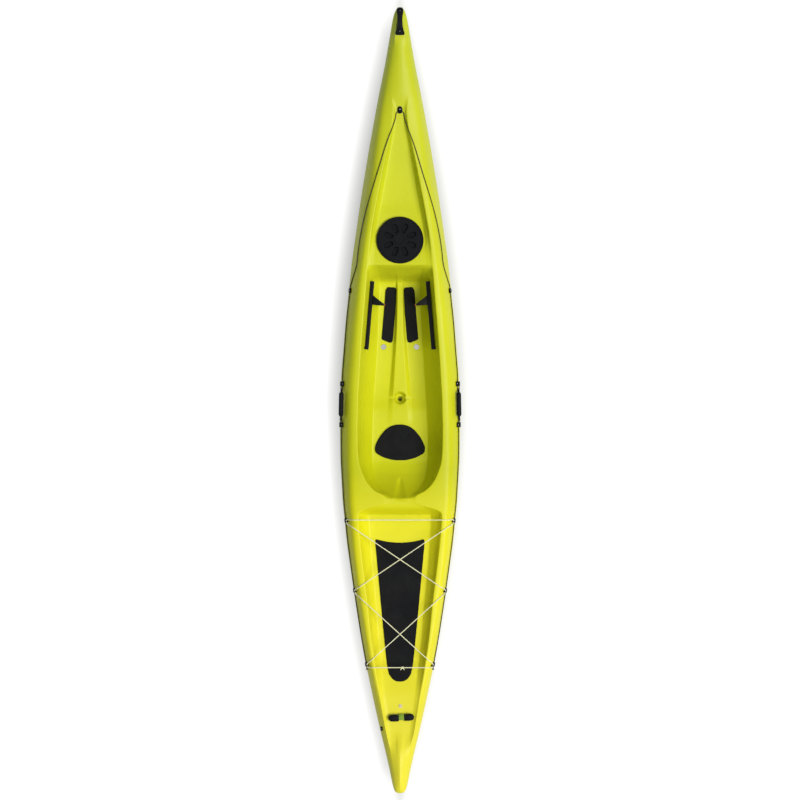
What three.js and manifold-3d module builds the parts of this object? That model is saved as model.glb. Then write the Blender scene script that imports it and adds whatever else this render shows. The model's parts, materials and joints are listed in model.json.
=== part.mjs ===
// A sit-on-top touring kayak, 4.5 m long, in millimetres: +Y is the bow, +X is starboard, +Z is up.
// The origin is on the ground under the middle of the boat, where the keel strip rests.
import * as THREE from 'three';
import { mergeVertices } from 'three/addons/utils/BufferGeometryUtils.js';
import Module from 'manifold-3d';

const wasm = await Module();
wasm.setup();

// Driving dimensions of the boat
const overallLength = 4500;
const hullBeam = 688;
const sheerHeight = 190;
const rimRise = 92;
const wallThickness = 4.5;
const shellGap = 0.3;
const cutOverrun = 20;
const mergeDistance = 0.001;
const halfLength = overallLength / 2;
const halfBeam = hullBeam / 2;

// Colours
const limePlastic = { color: 0xd8da2a, roughness: 0.38, metalness: 0 };
const blackPlastic = { color: 0x1b1b1d, roughness: 0.5, metalness: 0 };
const blackFoam = { color: 0x262628, roughness: 0.9, metalness: 0 };
const blackRubber = { color: 0x141416, roughness: 0.75, metalness: 0 };
const blackCord = { color: 0x1c1a16, roughness: 0.8, metalness: 0 };
const paleCord = { color: 0xe1dcb0, roughness: 0.85, metalness: 0 };
const redPlastic = { color: 0xb23a24, roughness: 0.45, metalness: 0 };
const steel = { color: 0xb9bcc0, roughness: 0.3, metalness: 1 };
const greenWebbing = { color: 0x9aa52a, roughness: 0.9, metalness: 0 };
const palePlastic = { color: 0xe6dcc4, roughness: 0.5, metalness: 0 };

// Curves along the boat: each row is a place from -1 at the stern to 1 at the bow, then a value.
// Values in shares of the half beam
const beamShares = [[-1, 0.04], [-0.9955, 0.082], [-0.988, 0.105], [-0.968, 0.137], [-0.917, 0.205],
  [-0.866, 0.29], [-0.764, 0.44], [-0.637, 0.617], [-0.484, 0.775], [-0.357, 0.89],
  [-0.255, 0.957], [-0.15, 0.994],
  [-0.06, 1], [0.051, 0.985], [0.204, 0.905], [0.357, 0.8], [0.51, 0.655], [0.637, 0.52],
  [0.764, 0.37], [0.866, 0.235], [0.943, 0.15], [0.968, 0.122], [0.99, 0.085], [1, 0.035]];
const wellShares = [[-1, 0.014], [-0.9, 0.15], [-0.84, 0.24], [-0.76, 0.325], [-0.7, 0.39], [-0.61, 0.48],
  [-0.484, 0.565], [-0.408, 0.635], [-0.32, 0.69], [-0.293, 0.7], [-0.283, 0.67], [-0.273, 0.5],
  [-0.262, 0.25], [-0.2497, 0.18], [-0.2446, 0.22], [-0.2293, 0.425], [-0.204, 0.57], [-0.18, 0.64],
  [-0.153, 0.69], [-0.102, 0.715], [0, 0.7], [0.153, 0.642], [0.255, 0.583], [0.357, 0.535],
  [0.433, 0.478], [0.51, 0.385], [0.586, 0.288], [0.637, 0.217], [0.69, 0.14], [0.735, 0.06],
  [0.9, 0.03], [1, 0.005]];
const floorShares = [[-1, 0.008], [-0.9, 0.1], [-0.84, 0.17], [-0.76, 0.24], [-0.7, 0.29], [-0.61, 0.36],
  [-0.484, 0.42], [-0.408, 0.48], [-0.293, 0.52], [-0.283, 0.5], [-0.273, 0.4], [-0.262, 0.2],
  [-0.2497, 0.12], [-0.2446, 0.15], [-0.2293, 0.28], [-0.204, 0.4], [-0.18, 0.44], [-0.153, 0.46],
  [-0.102, 0.47], [0, 0.44], [0.153, 0.375], [0.3, 0.34], [0.336, 0.36], [0.345, 0.43], [0.357, 0.44],
  [0.433, 0.395], [0.51, 0.31], [0.586, 0.225], [0.637, 0.16], [0.69, 0.1], [0.735, 0.04],
  [0.9, 0.02], [1, 0.004]];
const ridgeFootShares = [[-1, 0.002], [-0.97, 0.035], [-0.9, 0.06], [-0.7, 0.1], [-0.3, 0.22], [-0.273, 0.15],
  [-0.262, 0.08], [-0.2446, 0.08], [-0.2293, 0.14], [-0.2, 0.18],
  [-0.14, 0.22], [-0.07, 0.218], [0.006, 0.19], [0.127, 0.118], [0.25, 0.055], [0.3, 0.045],
  [0.36, 0.12], [0.5, 0.12], [0.6, 0.08], [0.69, 0.05], [0.735, 0.02], [0.9, 0.01], [1, 0.002]];

// Values in shares of the half beam at the same place: towards the bow the columns spread at least so far
const leastFootShares = [[0.74, 0.08], [0.8, 0.16], [1, 0.16]];
const leastFloorShares = [[0.74, 0.16], [0.8, 0.33], [1, 0.33]];
const leastWellShares = [[0.74, 0.27], [0.8, 0.52], [0.95, 0.5], [1, 0.42]];
const shoulderShares = [[-1, 0.5], [-0.95, 0.62], [-0.85, 0.74], [-0.7, 0.82], [-0.45, 0.87],
  [-0.25, 0.84], [0, 0.81], [0.3, 0.79], [0.45, 0.76], [0.6, 0.72], [0.76, 0.7], [0.87, 0.64],
  [0.95, 0.55], [1, 0.5]];

// Values in shares of the sheer height
const seamShares = [[-1, 1.36], [-0.8, 1.18], [-0.5, 1.04], [0, 1], [0.4, 1.08], [0.7, 1.28],
  [0.9, 1.52], [1, 1.68]];
const keelShares = [[-1, 1.34], [-0.996, 1], [-0.982, 0.7], [-0.955, 0.44], [-0.9, 0.22],
  [-0.8, 0.08], [-0.65, 0.01], [-0.5, 0], [0.5, 0], [0.65, 0.02], [0.8, 0.11], [0.9, 0.31],
  [0.955, 0.58], [0.982, 0.88], [0.996, 1.25], [1, 1.66]];
const floorHeightShares = [[-1, 1.6], [-0.9, 1.56], [-0.84, 1.418], [-0.76, 1.4], [-0.7, 1.27],
  [-0.66, 1.17], [-0.6, 1.13], [-0.3, 1.13], [-0.291, 1.15], [-0.283, 1.34], [-0.273, 1.5],
  [-0.262, 1.54], [-0.2497, 1.54], [-0.2446, 1.46], [-0.2293, 1.21], [-0.204, 0.9], [-0.18, 0.7],
  [-0.153, 0.6], [-0.14, 0.59], [-0.03, 0.59], [0.006, 0.5], [0.06, 0.45], [0.29, 0.42],
  [0.302, 0.5], [0.336, 1.5], [0.345, 1.708], [0.47, 1.515], [0.51, 1.47], [0.586, 1.48],
  [0.65, 1.58], [0.7, 1.65], [0.735, 1.72], [0.77, 1.86], [0.85, 1.92], [1, 1.92]];

// Values in shares of the rim rise, over the seam
const rimShares = [[-1, 0], [-0.9955, 0.15], [-0.985, 0.24], [-0.96, 0.36], [-0.85, 0.5], [-0.7, 0.7],
  [-0.5, 0.92], [-0.25, 1.08], [-0.15, 1.02], [0, 1], [0.1, 1.05], [0.25, 1.25], [0.34, 1.38], [0.42, 1.34],
  [0.55, 1.2], [0.7, 0.9], [0.85, 0.6], [0.94, 0.36], [0.985, 0.24], [0.9955, 0.15], [1, 0]];
const crownShares = [[-1, 0], [-0.95, 0.1], [-0.8, 0.06], [-0.7, 0.02], [-0.3, 0.02], [0.3, 0.02],
  [0.55, 0.05], [0.7, 0.12], [0.8, 0.2], [0.94, 0.16], [0.985, 0.1], [1, 0]];
const ridgeRiseShares = [[-1, 0], [-0.97, 0.09], [-0.9, 0.11], [-0.84, 0], [-0.07, 0],
  [-0.03, 0.06], [0.006, 0.18], [0.06, 0.3], [0.27, 0.34], [0.302, 0.1], [0.33, 0], [1, 0]];

// Stations of the moulding, closer together where its form turns
const stationShares = [-1, -0.9955, -0.985, -0.968, -0.94, -0.9, -0.84, -0.76, -0.7, -0.66, -0.6, -0.52,
  -0.44, -0.36, -0.3, -0.291, -0.283, -0.273, -0.262, -0.2497, -0.2446, -0.2293, -0.204, -0.18, -0.153,
  -0.12, -0.07, -0.03, 0.006, 0.06, 0.127, 0.2, 0.27, 0.302, 0.32, 0.336, 0.345, 0.42, 0.47,
  0.51, 0.55, 0.6, 0.65, 0.69, 0.735, 0.79, 0.85, 0.9, 0.94, 0.965, 0.983, 0.9955, 1];

function lookUp(rows, place) {
  const last = rows.length - 1;
  if (place <= rows[0][0]) return rows[0][1];
  if (place >= rows[last][0]) return rows[last][1];
  const after = rows.findIndex((row) => row[0] > place);
  const [lowPlace, lowValue] = rows[after - 1];
  const [highPlace, highValue] = rows[after];
  return lowValue + ((highValue - lowValue) * (place - lowPlace)) / (highPlace - lowPlace);
}

const beamAt = (place) => halfBeam * lookUp(beamShares, place);
const seamAt = (place) => sheerHeight * lookUp(seamShares, place);
const rimAt = (place) => seamAt(place) + rimRise * lookUp(rimShares, place);
const floorAt = (place) => sheerHeight * lookUp(floorHeightShares, place);

// Half a deck section from the centre to the seam, as [across, up]
const ridgeTopShare = 0.62;
const wallSwellShare = 0.68;
const wallRiseShare = 0.45;
const flankSwellShares = [0.45, 0.62];
function deckHalf(place) {
  const beam = beamAt(place);
  const seam = seamAt(place);
  const rim = rimAt(place);
  const isTip = Math.abs(place) === 1;
  const spread = (rows, least) => Math.max(halfBeam * lookUp(rows, place), beam * lookUp(least, place));
  const foot = spread(ridgeFootShares, leastFootShares);
  const floorEdge = spread(floorShares, leastFloorShares);
  const wellEdge = spread(wellShares, leastWellShares);
  const shoulder = beam * lookUp(shoulderShares, place);
  const wellRim = rim + rimRise * lookUp(crownShares, place);
  const floor = isTip ? seam : Math.min(floorAt(place), wellRim);
  const ridge = floor + rimRise * lookUp(ridgeRiseShares, place);
  const wallMiddle = floorEdge + (wellEdge - floorEdge) * wallSwellShare;
  const wallHeight = floor + (wellRim - floor) * wallRiseShare;
  const flank = beam + (shoulder - beam) * flankSwellShares[0];
  const flankHeight = seam + (rim - seam) * flankSwellShares[1];
  return [[0, ridge], [foot * ridgeTopShare, ridge], [foot, floor], [floorEdge, floor],
    [wallMiddle, wallHeight], [wellEdge, wellRim], [shoulder, rim], [flank, flankHeight],
    [beam, seam]];
}

// Half a hull section from the keel to the seam: round amidships, sharper towards the ends
const roundAcrossShares = [0, 0.12, 0.52, 0.83, 0.965, 1];
const roundUpShares = [0, 0, 0.1, 0.32, 0.66, 1];
const sharpAcrossShares = [0, 0.1, 0.32, 0.56, 0.8, 1];
const sharpUpShares = [0, 0.02, 0.3, 0.54, 0.78, 1];
const sharpeningShares = [[-1, 1], [-0.9, 0.85], [-0.35, 0], [0.3, 0], [0.9, 0.9], [1, 1]];
function hullHalf(place) {
  const beam = beamAt(place);
  const seam = seamAt(place);
  const keel = Math.abs(place) === 1 ? seam : sheerHeight * lookUp(keelShares, place);
  const sharp = lookUp(sharpeningShares, place);
  return roundAcrossShares.map((across, i) => {
    const x = across + (sharpAcrossShares[i] - across) * sharp;
    const z = roundUpShares[i] + (sharpUpShares[i] - roundUpShares[i]) * sharp;
    return [beam * x, keel + (seam - keel) * z];
  });
}

// A whole section from port to starboard, mirrored from its half
function mirrored(half) {
  const port = half.slice(1).reverse().map(([x, z]) => [-x, z]);
  return port.concat(half);
}

function surfaceGrid(halfSection) {
  return stationShares.map((place) => mirrored(halfSection(place))
    .map(([x, z]) => new THREE.Vector3(x, place * halfLength, z)));
}

// Whether a quad is split the other way, as it is across the middle of the boat and across its centre line
function isMirrored(grid, i, j) {
  const isStarboard = j + j + 1 > grid[0].length - 1;
  const isForward = i + i + 1 > grid.length - 1;
  return isStarboard !== isForward;
}

function splitQuad([a, b, c, d], isFlipped) {
  return isFlipped ? [[a, b, d], [b, c, d]] : [[a, b, c], [a, c, d]];
}

// Faces' normals summed at every point of a grid that runs port to starboard, stern to bow
function gridNormals(grid) {
  const normals = grid.map((row) => row.map(() => new THREE.Vector3()));
  const add = (corners) => {
    const [a, b, c] = corners.map(([i, j]) => grid[i][j]);
    const normal = b.clone().sub(a).cross(c.clone().sub(a)).normalize();
    corners.forEach(([i, j]) => normals[i][j].add(normal));
  };
  for (let i = 0; i + 1 < grid.length; i += 1) {
    for (let j = 0; j + 1 < grid[i].length; j += 1) {
      const corners = [[i, j], [i, j + 1], [i + 1, j + 1], [i + 1, j]];
      splitQuad(corners, isMirrored(grid, i, j)).forEach(add);
    }
  }
  normals.forEach((row) => row.forEach((normal) => normal.normalize()));
  return normals;
}

// A grid moved off its surface. Its rim moves inwards at the seam's height, its sides along their
// normals, and what lies between them straight up or down by as much as its slope asks for.
const sideColumns = 3;
const leastNormalShare = 0.34;
const tipPlaceShare = 0.95;
const tipDropShare = 0.55;
function offsetGrid(grid, distance) {
  const normals = gridNormals(grid);
  const lastRow = grid.length - 1;
  return grid.map((row, i) => row.map((point, j) => {
    const fromSide = Math.min(j, row.length - 1 - j);
    const edge = Math.abs(row[0].x);
    if (i === 0 || i === lastRow) {
      const shrink = (edge + distance) / edge;
      return new THREE.Vector3(point.x * shrink, point.y + Math.sign(point.y) * distance, point.z);
    }
    if (fromSide === 0) return point.clone().setX(point.x + Math.sign(point.x) * distance);
    const normal = normals[i][j];
    const moved = point.clone();
    const isTip = Math.abs(point.y) > halfLength * tipPlaceShare;
    const rise = distance / Math.max(Math.abs(normal.z), leastNormalShare) * Math.sign(normal.z);
    if (isTip) {
      const limit = Math.abs(point.z - row[0].z) * tipDropShare;
      moved.x *= (edge + distance) / edge;
      moved.z += THREE.MathUtils.clamp(rise, -limit, limit);
    } else if (fromSide < sideColumns) {
      moved.x += normal.x * distance;
      moved.z += normal.z * distance;
    } else {
      moved.z += rise;
    }
    return moved;
  }));
}

// A closed solid between an upper and a lower grid of the same size
function solidBetween(upper, lower) {
  const rows = upper.length;
  const columns = upper[0].length;
  const points = upper.flat().concat(lower.flat());
  const top = (i, j) => i * columns + j;
  const under = (i, j) => rows * columns + i * columns + j;
  const faces = [];
  const quad = (a, b, c, d) => faces.push(a, b, c, a, c, d);
  for (let i = 0; i + 1 < rows; i += 1) {
    for (let j = 0; j + 1 < columns; j += 1) {
      const isFlipped = isMirrored(upper, i, j);
      const corners = (at) => [at(i, j), at(i, j + 1), at(i + 1, j + 1), at(i + 1, j)];
      splitQuad(corners(top), isFlipped).forEach((face) => faces.push(...face));
      splitQuad(corners(under), isFlipped).forEach(([a, b, c]) => faces.push(a, c, b));
    }
    quad(top(i, 0), top(i + 1, 0), under(i + 1, 0), under(i, 0));
    quad(top(i + 1, columns - 1), top(i, columns - 1), under(i, columns - 1), under(i + 1, columns - 1));
  }
  for (let j = 0; j + 1 < columns; j += 1) {
    quad(top(0, j + 1), top(0, j), under(0, j), under(0, j + 1));
    quad(top(rows - 1, j), top(rows - 1, j + 1), under(rows - 1, j + 1), under(rows - 1, j));
  }
  return solid(points, faces);
}

function solid(points, faces) {
  const vertProperties = new Float32Array(points.flatMap((p) => [p.x, p.y, p.z]));
  return new wasm.Manifold(new wasm.Mesh({ numProp: 3, vertProperties, triVerts: new Uint32Array(faces) }));
}

// A three.js geometry as a solid for joining and cutting
function solidFrom(geometry, matrix = new THREE.Matrix4()) {
  const bare = geometry.clone().applyMatrix4(matrix);
  bare.deleteAttribute('normal');
  bare.deleteAttribute('uv');
  const merged = mergeVertices(bare, mergeDistance);
  const index = [];
  for (let i = 0; i < merged.index.count; i += 3) {
    const [a, b, c] = [0, 1, 2].map((k) => merged.index.getX(i + k));
    if (a !== b && b !== c && c !== a) index.push(a, b, c);
  }
  return new wasm.Manifold(new wasm.Mesh({
    numProp: 3,
    vertProperties: new Float32Array(merged.attributes.position.array),
    triVerts: new Uint32Array(index),
  }));
}

function geometryFrom(shape) {
  const mesh = shape.getMesh();
  const geometry = new THREE.BufferGeometry();
  geometry.setAttribute('position', new THREE.BufferAttribute(new Float32Array(mesh.vertProperties), 3));
  geometry.setIndex(new THREE.BufferAttribute(new Uint32Array(mesh.triVerts), 1));
  geometry.computeVertexNormals();
  return geometry;
}

const kayak = new THREE.Group();
function addPiece(name, shape, look) {
  const piece = new THREE.Mesh(geometryFrom(shape), new THREE.MeshStandardMaterial(look));
  piece.name = name;
  kayak.add(piece);
}

// The two shells, before their holes
const raised = (grid, rise) => grid.map((row) => row.map((p) => p.clone().setZ(p.z + rise)));
const deckTop = raised(surfaceGrid(deckHalf), shellGap / 2);
const hullOutside = raised(surfaceGrid(hullHalf).map((row) => row.slice().reverse()), -shellGap / 2);
let deck = solidBetween(deckTop, offsetGrid(deckTop, -wallThickness));
let hull = solidBetween(hullOutside, offsetGrid(hullOutside, -wallThickness));

// What sits on the deck is cut to it with a gap
const seatTop = offsetGrid(deckTop, shellGap);
const belowAll = (grid) => grid.map((row) => row.map((point) => point.clone().setZ(-cutOverrun)));
const deckSeat = solidBetween(seatTop, belowAll(seatTop));
const underDeck = solidBetween(deckTop, belowAll(deckTop));
const seated = (shape) => shape.subtract(deckSeat);

// A sheet of one thickness lying on the deck
function deckLayer(thickness) {
  return solidBetween(offsetGrid(deckTop, shellGap + thickness), offsetGrid(deckTop, shellGap));
}

function sectionHeight(row, x) {
  const after = row.findIndex((p) => p.x > x);
  if (after < 1) return row[0].z;
  const low = row[after - 1];
  const high = row[after];
  return low.z + ((high.z - low.z) * (x - low.x)) / (high.x - low.x);
}

function sectionAt(place) {
  const after = stationShares.findIndex((share) => share > place);
  const lowPlace = stationShares[after - 1];
  const share = (place - lowPlace) / (stationShares[after] - lowPlace);
  return deckTop[after - 1].map((point, j) => point.clone().lerp(deckTop[after][j], share));
}

// The deck's height at a place along and a distance across
const deckHeight = (place, x) => sectionHeight(sectionAt(place), x);
const deckPoint = (place, x) => new THREE.Vector3(x, place * halfLength, deckHeight(place, x));

const slopeProbe = 6;
const edgeMargin = 1;
function deckNormal(place, x) {
  const edge = beamAt(place) - edgeMargin;
  const low = Math.max(x - slopeProbe, -edge);
  const high = Math.min(x + slopeProbe, edge);
  const step = slopeProbe / halfLength;
  const acrossSlope = (deckHeight(place, high) - deckHeight(place, low)) / (high - low);
  const alongRise = deckHeight(place + step, x) - deckHeight(place - step, x);
  return new THREE.Vector3(-acrossSlope, -alongRise / (slopeProbe + slopeProbe), 1).normalize();
}

// A frame standing on the deck: its Z is the deck's normal and its Y runs towards the bow
function deckFrame(place, x) {
  const up = deckNormal(place, x);
  const side = new THREE.Vector3(0, 1, 0).cross(up).normalize();
  const ahead = up.clone().cross(side);
  return new THREE.Matrix4().makeBasis(side, ahead, up).setPosition(deckPoint(place, x));
}

// Plain solids in their own frames
const roundSides = 12;
const smallSides = 6;
function block(corner, otherCorner) {
  const low = new THREE.Vector3(...corner).min(new THREE.Vector3(...otherCorner));
  const size = new THREE.Vector3(...corner).max(new THREE.Vector3(...otherCorner)).sub(low);
  const box = new THREE.BoxGeometry(size.x, size.y, size.z);
  const middle = low.clone().addScaledVector(size, 0.5);
  return solidFrom(box, new THREE.Matrix4().makeTranslation(middle));
}

function rod(radius, from, to, sides = roundSides, endRadius = radius) {
  const start = new THREE.Vector3(...from);
  const axis = new THREE.Vector3(...to).sub(start);
  const cylinder = new THREE.CylinderGeometry(endRadius, radius, axis.length(), sides);
  const turn = new THREE.Quaternion().setFromUnitVectors(
    new THREE.Vector3(0, 1, 0), axis.clone().normalize(),
  );
  const middle = start.clone().addScaledVector(axis, 0.5);
  return solidFrom(cylinder, new THREE.Matrix4().compose(middle, turn, new THREE.Vector3(1, 1, 1)));
}

// A plate of an outline, standing up from one height to another
function plate(outline, low, high) {
  const shape = new THREE.Shape(outline.map(([x, y]) => new THREE.Vector2(x, y)));
  const geometry = new THREE.ExtrudeGeometry(shape, { depth: high - low, bevelEnabled: false });
  return solidFrom(geometry, new THREE.Matrix4().makeTranslation(0, 0, low));
}

// A ring or disc turned about Z from [radius, height] points
function turned(profile, sides) {
  const points = profile.map(([radius, height]) => new THREE.Vector2(radius, height));
  const upright = new THREE.Matrix4().makeRotationX(Math.PI / 2);
  return solidFrom(new THREE.LatheGeometry(points, sides), upright);
}

// An outline with round ends, longer along Y
function roundEnded(width, length, arcSteps = 4) {
  const radius = width / 2;
  const reach = length / 2 - radius;
  const points = [];
  [0, Math.PI].forEach((start) => {
    for (let i = 0; i <= arcSteps; i += 1) {
      const angle = start + (Math.PI * i) / arcSteps;
      points.push([radius * Math.cos(angle), radius * Math.sin(angle) + (start === 0 ? reach : -reach)]);
    }
  });
  return points;
}

// A tube through points of a route, with one ring at each point
class Route extends THREE.CatmullRomCurve3 {
  getUtoTmapping(share) {
    return share;
  }
}

function tube(points, radius) {
  const route = new Route(points, false, 'centripetal');
  const section = new THREE.Shape();
  for (let i = 0; i < smallSides; i += 1) {
    const angle = (2 * Math.PI * i) / smallSides;
    const corner = [radius * Math.cos(angle), radius * Math.sin(angle)];
    if (i === 0) section.moveTo(...corner);
    else section.lineTo(...corner);
  }
  return solidFrom(new THREE.ExtrudeGeometry(section, { steps: points.length - 1, extrudePath: route }));
}

// An outline seen from the side, as [along, up], extruded across from one distance to another
const acrossTurn = new THREE.Matrix4().makeBasis(
  new THREE.Vector3(0, 1, 0), new THREE.Vector3(0, 0, 1), new THREE.Vector3(1, 0, 0),
);
function sidePlate(outline, low, high) {
  return plate(outline, low, high).transform(acrossTurn.elements);
}

// An outline seen from the stern, as [across, up], extruded along by half a length each way
const alongTurn = new THREE.Matrix4().makeBasis(
  new THREE.Vector3(1, 0, 0), new THREE.Vector3(0, 0, 1), new THREE.Vector3(0, -1, 0),
);
function crossPlate(outline, half) {
  return plate(outline, -half, half).transform(alongTurn.elements);
}

// Fittings in pairs are laid out for the left side, with X inboard, and mirrored for the right
const sideNames = [['left', -1], ['right', 1]];
const mirrorAcross = new THREE.Matrix4().makeScale(-1, 1, 1);
const onSide = (frame, side) => (side < 0 ? frame.clone() : mirrorAcross.clone().multiply(frame));
const leftFrame = (place, x) => deckFrame(place, -x);
const moved = (frame, x, y, z) => frame.clone().multiply(new THREE.Matrix4().makeTranslation(x, y, z));
const inFrame = (frame, x, y, z) => new THREE.Vector3(x, y, z).applyMatrix4(frame);

// Screws: each passes its fitting and the deck's skin in holes with a gap round its shank
const screwShankRadius = 1.9;
const screwHeadRadius = 3.8;
const screwHeadHeight = 2.2;
const screwBossHeight = 1;
const screwDepth = 12;
const screwHoles = [];
function addScrew(name, frame, seatHeight, depth = screwDepth) {
  const base = seatHeight + shellGap;
  const screw = turned([[0, -depth], [screwShankRadius, -depth], [screwShankRadius, base],
    [screwHeadRadius, base], [screwHeadRadius, base + screwBossHeight],
    [screwShankRadius, base + screwHeadHeight], [0, base + screwHeadHeight]], smallSides);
  addPiece(name, screw.transform(frame.elements), steel);
}

// A screw's hole from below its tip up to its head's seat, and a wider bore over that
function screwHole(frame, seatHeight, depth = screwDepth) {
  const seat = [0, 0, seatHeight];
  const top = [0, 0, seatHeight + cutOverrun];
  const hole = rod(screwShankRadius + shellGap, [0, 0, -depth - shellGap], top, smallSides);
  const bore = rod(screwHeadRadius + shellGap, seat, top, smallSides);
  screwHoles.push(hole.transform(frame.elements));
  return hole.add(bore).transform(frame.elements);
}

// The round hatch: a ring let into the deck, a seal on its ledge and a lid that turns in it
const hatchPlaceShare = 0.4076;
const hatchRadius = 135;
const hatchRimWidth = 10;
const hatchRimHeight = 14;
const hatchRimBevel = 3;
const hatchLedgeWidth = 20;
const hatchLedgeHeight = 6;
const hatchNeckWall = 5;
const hatchNeckDepth = 26;
const hatchSides = 36;
const sealWidth = 8;
const sealHeight = 2.2;
const lidClearance = 0.5;
const lidEdgeHeight = 5;
const lidDepth = 8;
const fingerCount = 8;
const fingerInnerRadius = 46;
const fingerOuterRadius = 97;
const fingerInnerWidth = 18;
const fingerOuterWidth = 30;
const fingerDepth = 16;
const hubRadius = 27;
const hubRise = 1.5;
const hatchFrame = deckFrame(hatchPlaceShare, 0);
const hatchMouthRadius = hatchRadius - hatchRimWidth - hatchLedgeWidth;

function makeHatchRing() {
  const ledge = hatchRadius - hatchRimWidth;
  const neckOutside = hatchMouthRadius + hatchNeckWall;
  const ring = turned([[hatchMouthRadius, -hatchNeckDepth], [neckOutside, -hatchNeckDepth],
    [neckOutside, -wallThickness / 2], [hatchRadius, -wallThickness / 2],
    [hatchRadius, hatchRimHeight - hatchRimBevel], [hatchRadius - hatchRimBevel, hatchRimHeight],
    [ledge, hatchRimHeight], [ledge, hatchLedgeHeight], [hatchMouthRadius, hatchLedgeHeight],
    [hatchMouthRadius, -hatchNeckDepth]], hatchSides);
  const neckClearance = rod(neckOutside, [0, 0, -hatchNeckDepth], [0, 0, wallThickness], hatchSides);
  const placed = ring.transform(hatchFrame.elements);
  const neck = placed.intersect(neckClearance.transform(hatchFrame.elements));
  addPiece('hatch_ring', seated(placed).add(neck), blackPlastic);
  const deep = hatchNeckDepth + cutOverrun;
  const hole = rod(neckOutside + shellGap, [0, 0, -deep], [0, 0, cutOverrun], hatchSides);
  deck = deck.subtract(hole.transform(hatchFrame.elements));
}

function makeHatchSeal() {
  const outside = hatchRadius - hatchRimWidth - lidClearance;
  const inside = outside - sealWidth;
  const low = hatchLedgeHeight + shellGap;
  const seal = turned([[inside, low], [outside, low], [outside, low + sealHeight],
    [inside, low + sealHeight], [inside, low]], hatchSides);
  addPiece('hatch_seal', seal.transform(hatchFrame.elements), blackRubber);
}

function makeHatchLid() {
  const edge = hatchRadius - hatchRimWidth - lidClearance;
  const plug = hatchMouthRadius - lidClearance - lidClearance;
  const low = hatchLedgeHeight + shellGap + sealHeight + shellGap;
  const top = low + lidEdgeHeight;
  let lid = turned([[0, -lidDepth], [plug, -lidDepth], [plug, low], [edge, low],
    [edge, top - hubRise], [edge - hubRise, top], [0, top]], hatchSides);
  const inner = fingerInnerWidth / 2;
  const outer = fingerOuterWidth / 2;
  const pocket = plate([[fingerInnerRadius, -inner], [fingerOuterRadius - inner, -outer],
    [fingerOuterRadius, -inner], [fingerOuterRadius, inner], [fingerOuterRadius - inner, outer],
    [fingerInnerRadius, inner]], top - fingerDepth, top + cutOverrun);
  for (let i = 0; i < fingerCount; i += 1) {
    const turn = new THREE.Matrix4().makeRotationZ((2 * Math.PI * (i + 0.5)) / fingerCount);
    lid = lid.subtract(pocket.transform(turn.elements));
  }
  const hub = rod(hubRadius, [0, 0, low], [0, 0, top + hubRise], roundSides + roundSides);
  addPiece('hatch_lid', lid.add(hub).transform(hatchFrame.elements), blackRubber);
}

// Scuppers: tubes of the deck that end flush in holes of the hull
const scupperRadius = 15;
const scupperWall = 4.5;
const scupperPlaceShare = 0.137;
const scupperAcross = 95;
const drainPlaceShare = 0.0066;
const drainMouthRadius = 37;
const drainThroatRadius = 20;
const drainMouthDepth = 38;
const drainRake = 46;
const channelWidth = 16;
const channelReachShare = 0.2;
const channelStep = 3;

function cutTube(frame, radius, foot) {
  const top = new THREE.Vector3().setFromMatrixPosition(frame);
  const from = [foot.x, foot.y, -cutOverrun];
  const to = [top.x, top.y, top.z - wallThickness / 2];
  const casing = rod(radius + scupperWall, from, to, roundSides);
  const hullClearance = rod(radius + scupperWall + shellGap, from, to, roundSides);
  const hullSkin = solidBetween(raised(hullOutside, -cutOverrun - cutOverrun), hullOutside);
  deck = deck.add(casing.subtract(hullSkin));
  hull = hull.subtract(hullClearance);
}

function makeScuppers() {
  sideNames.forEach(([, side]) => {
    const x = side * scupperAcross;
    const y = scupperPlaceShare * halfLength;
    const top = deckPoint(scupperPlaceShare, x);
    cutTube(new THREE.Matrix4().setPosition(top), scupperRadius, { x, y });
    deck = deck.subtract(rod(scupperRadius, [x, y, -cutOverrun], [x, y, top.z + cutOverrun], roundSides));
  });
}

function makeDrain() {
  const y = drainPlaceShare * halfLength;
  const mouth = deckPoint(drainPlaceShare, 0);
  const throatHeight = mouth.z - drainMouthDepth;
  const foot = { x: 0, y: y - drainRake };
  const throat = new THREE.Matrix4().setPosition(new THREE.Vector3(0, y, throatHeight));
  const casingRadius = drainMouthRadius + scupperWall;
  const casing = rod(drainThroatRadius + scupperWall, [0, y, throatHeight - wallThickness],
    [0, y, mouth.z - wallThickness / 2], roundSides, casingRadius);
  deck = deck.add(casing).add(channelPlate(y, mouth.z, scupperWall).intersect(underDeck));
  cutTube(throat, drainThroatRadius - scupperWall, foot);
  const funnel = rod(drainThroatRadius, [0, y, throatHeight], mouth.toArray(), roundSides, drainMouthRadius)
    .add(rod(drainMouthRadius, mouth.toArray(), [0, y, mouth.z + cutOverrun]));
  const boreRadius = drainThroatRadius - scupperWall;
  const bore = rod(boreRadius, [0, foot.y, -cutOverrun], [0, y, throatHeight + wallThickness]);
  deck = deck.subtract(funnel).subtract(bore);
  deck = deck.subtract(channelPlate(y, mouth.z + cutOverrun, 0));
}

// The cross channel of the drain, or the casing round it
function channelPlate(y, top, wall) {
  const reach = halfBeam * channelReachShare + wall;
  const half = channelWidth / 2 + wall;
  return block([-reach, y - half, floorAt(drainPlaceShare) + channelStep - wall], [reach, y + half, top]);
}

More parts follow.
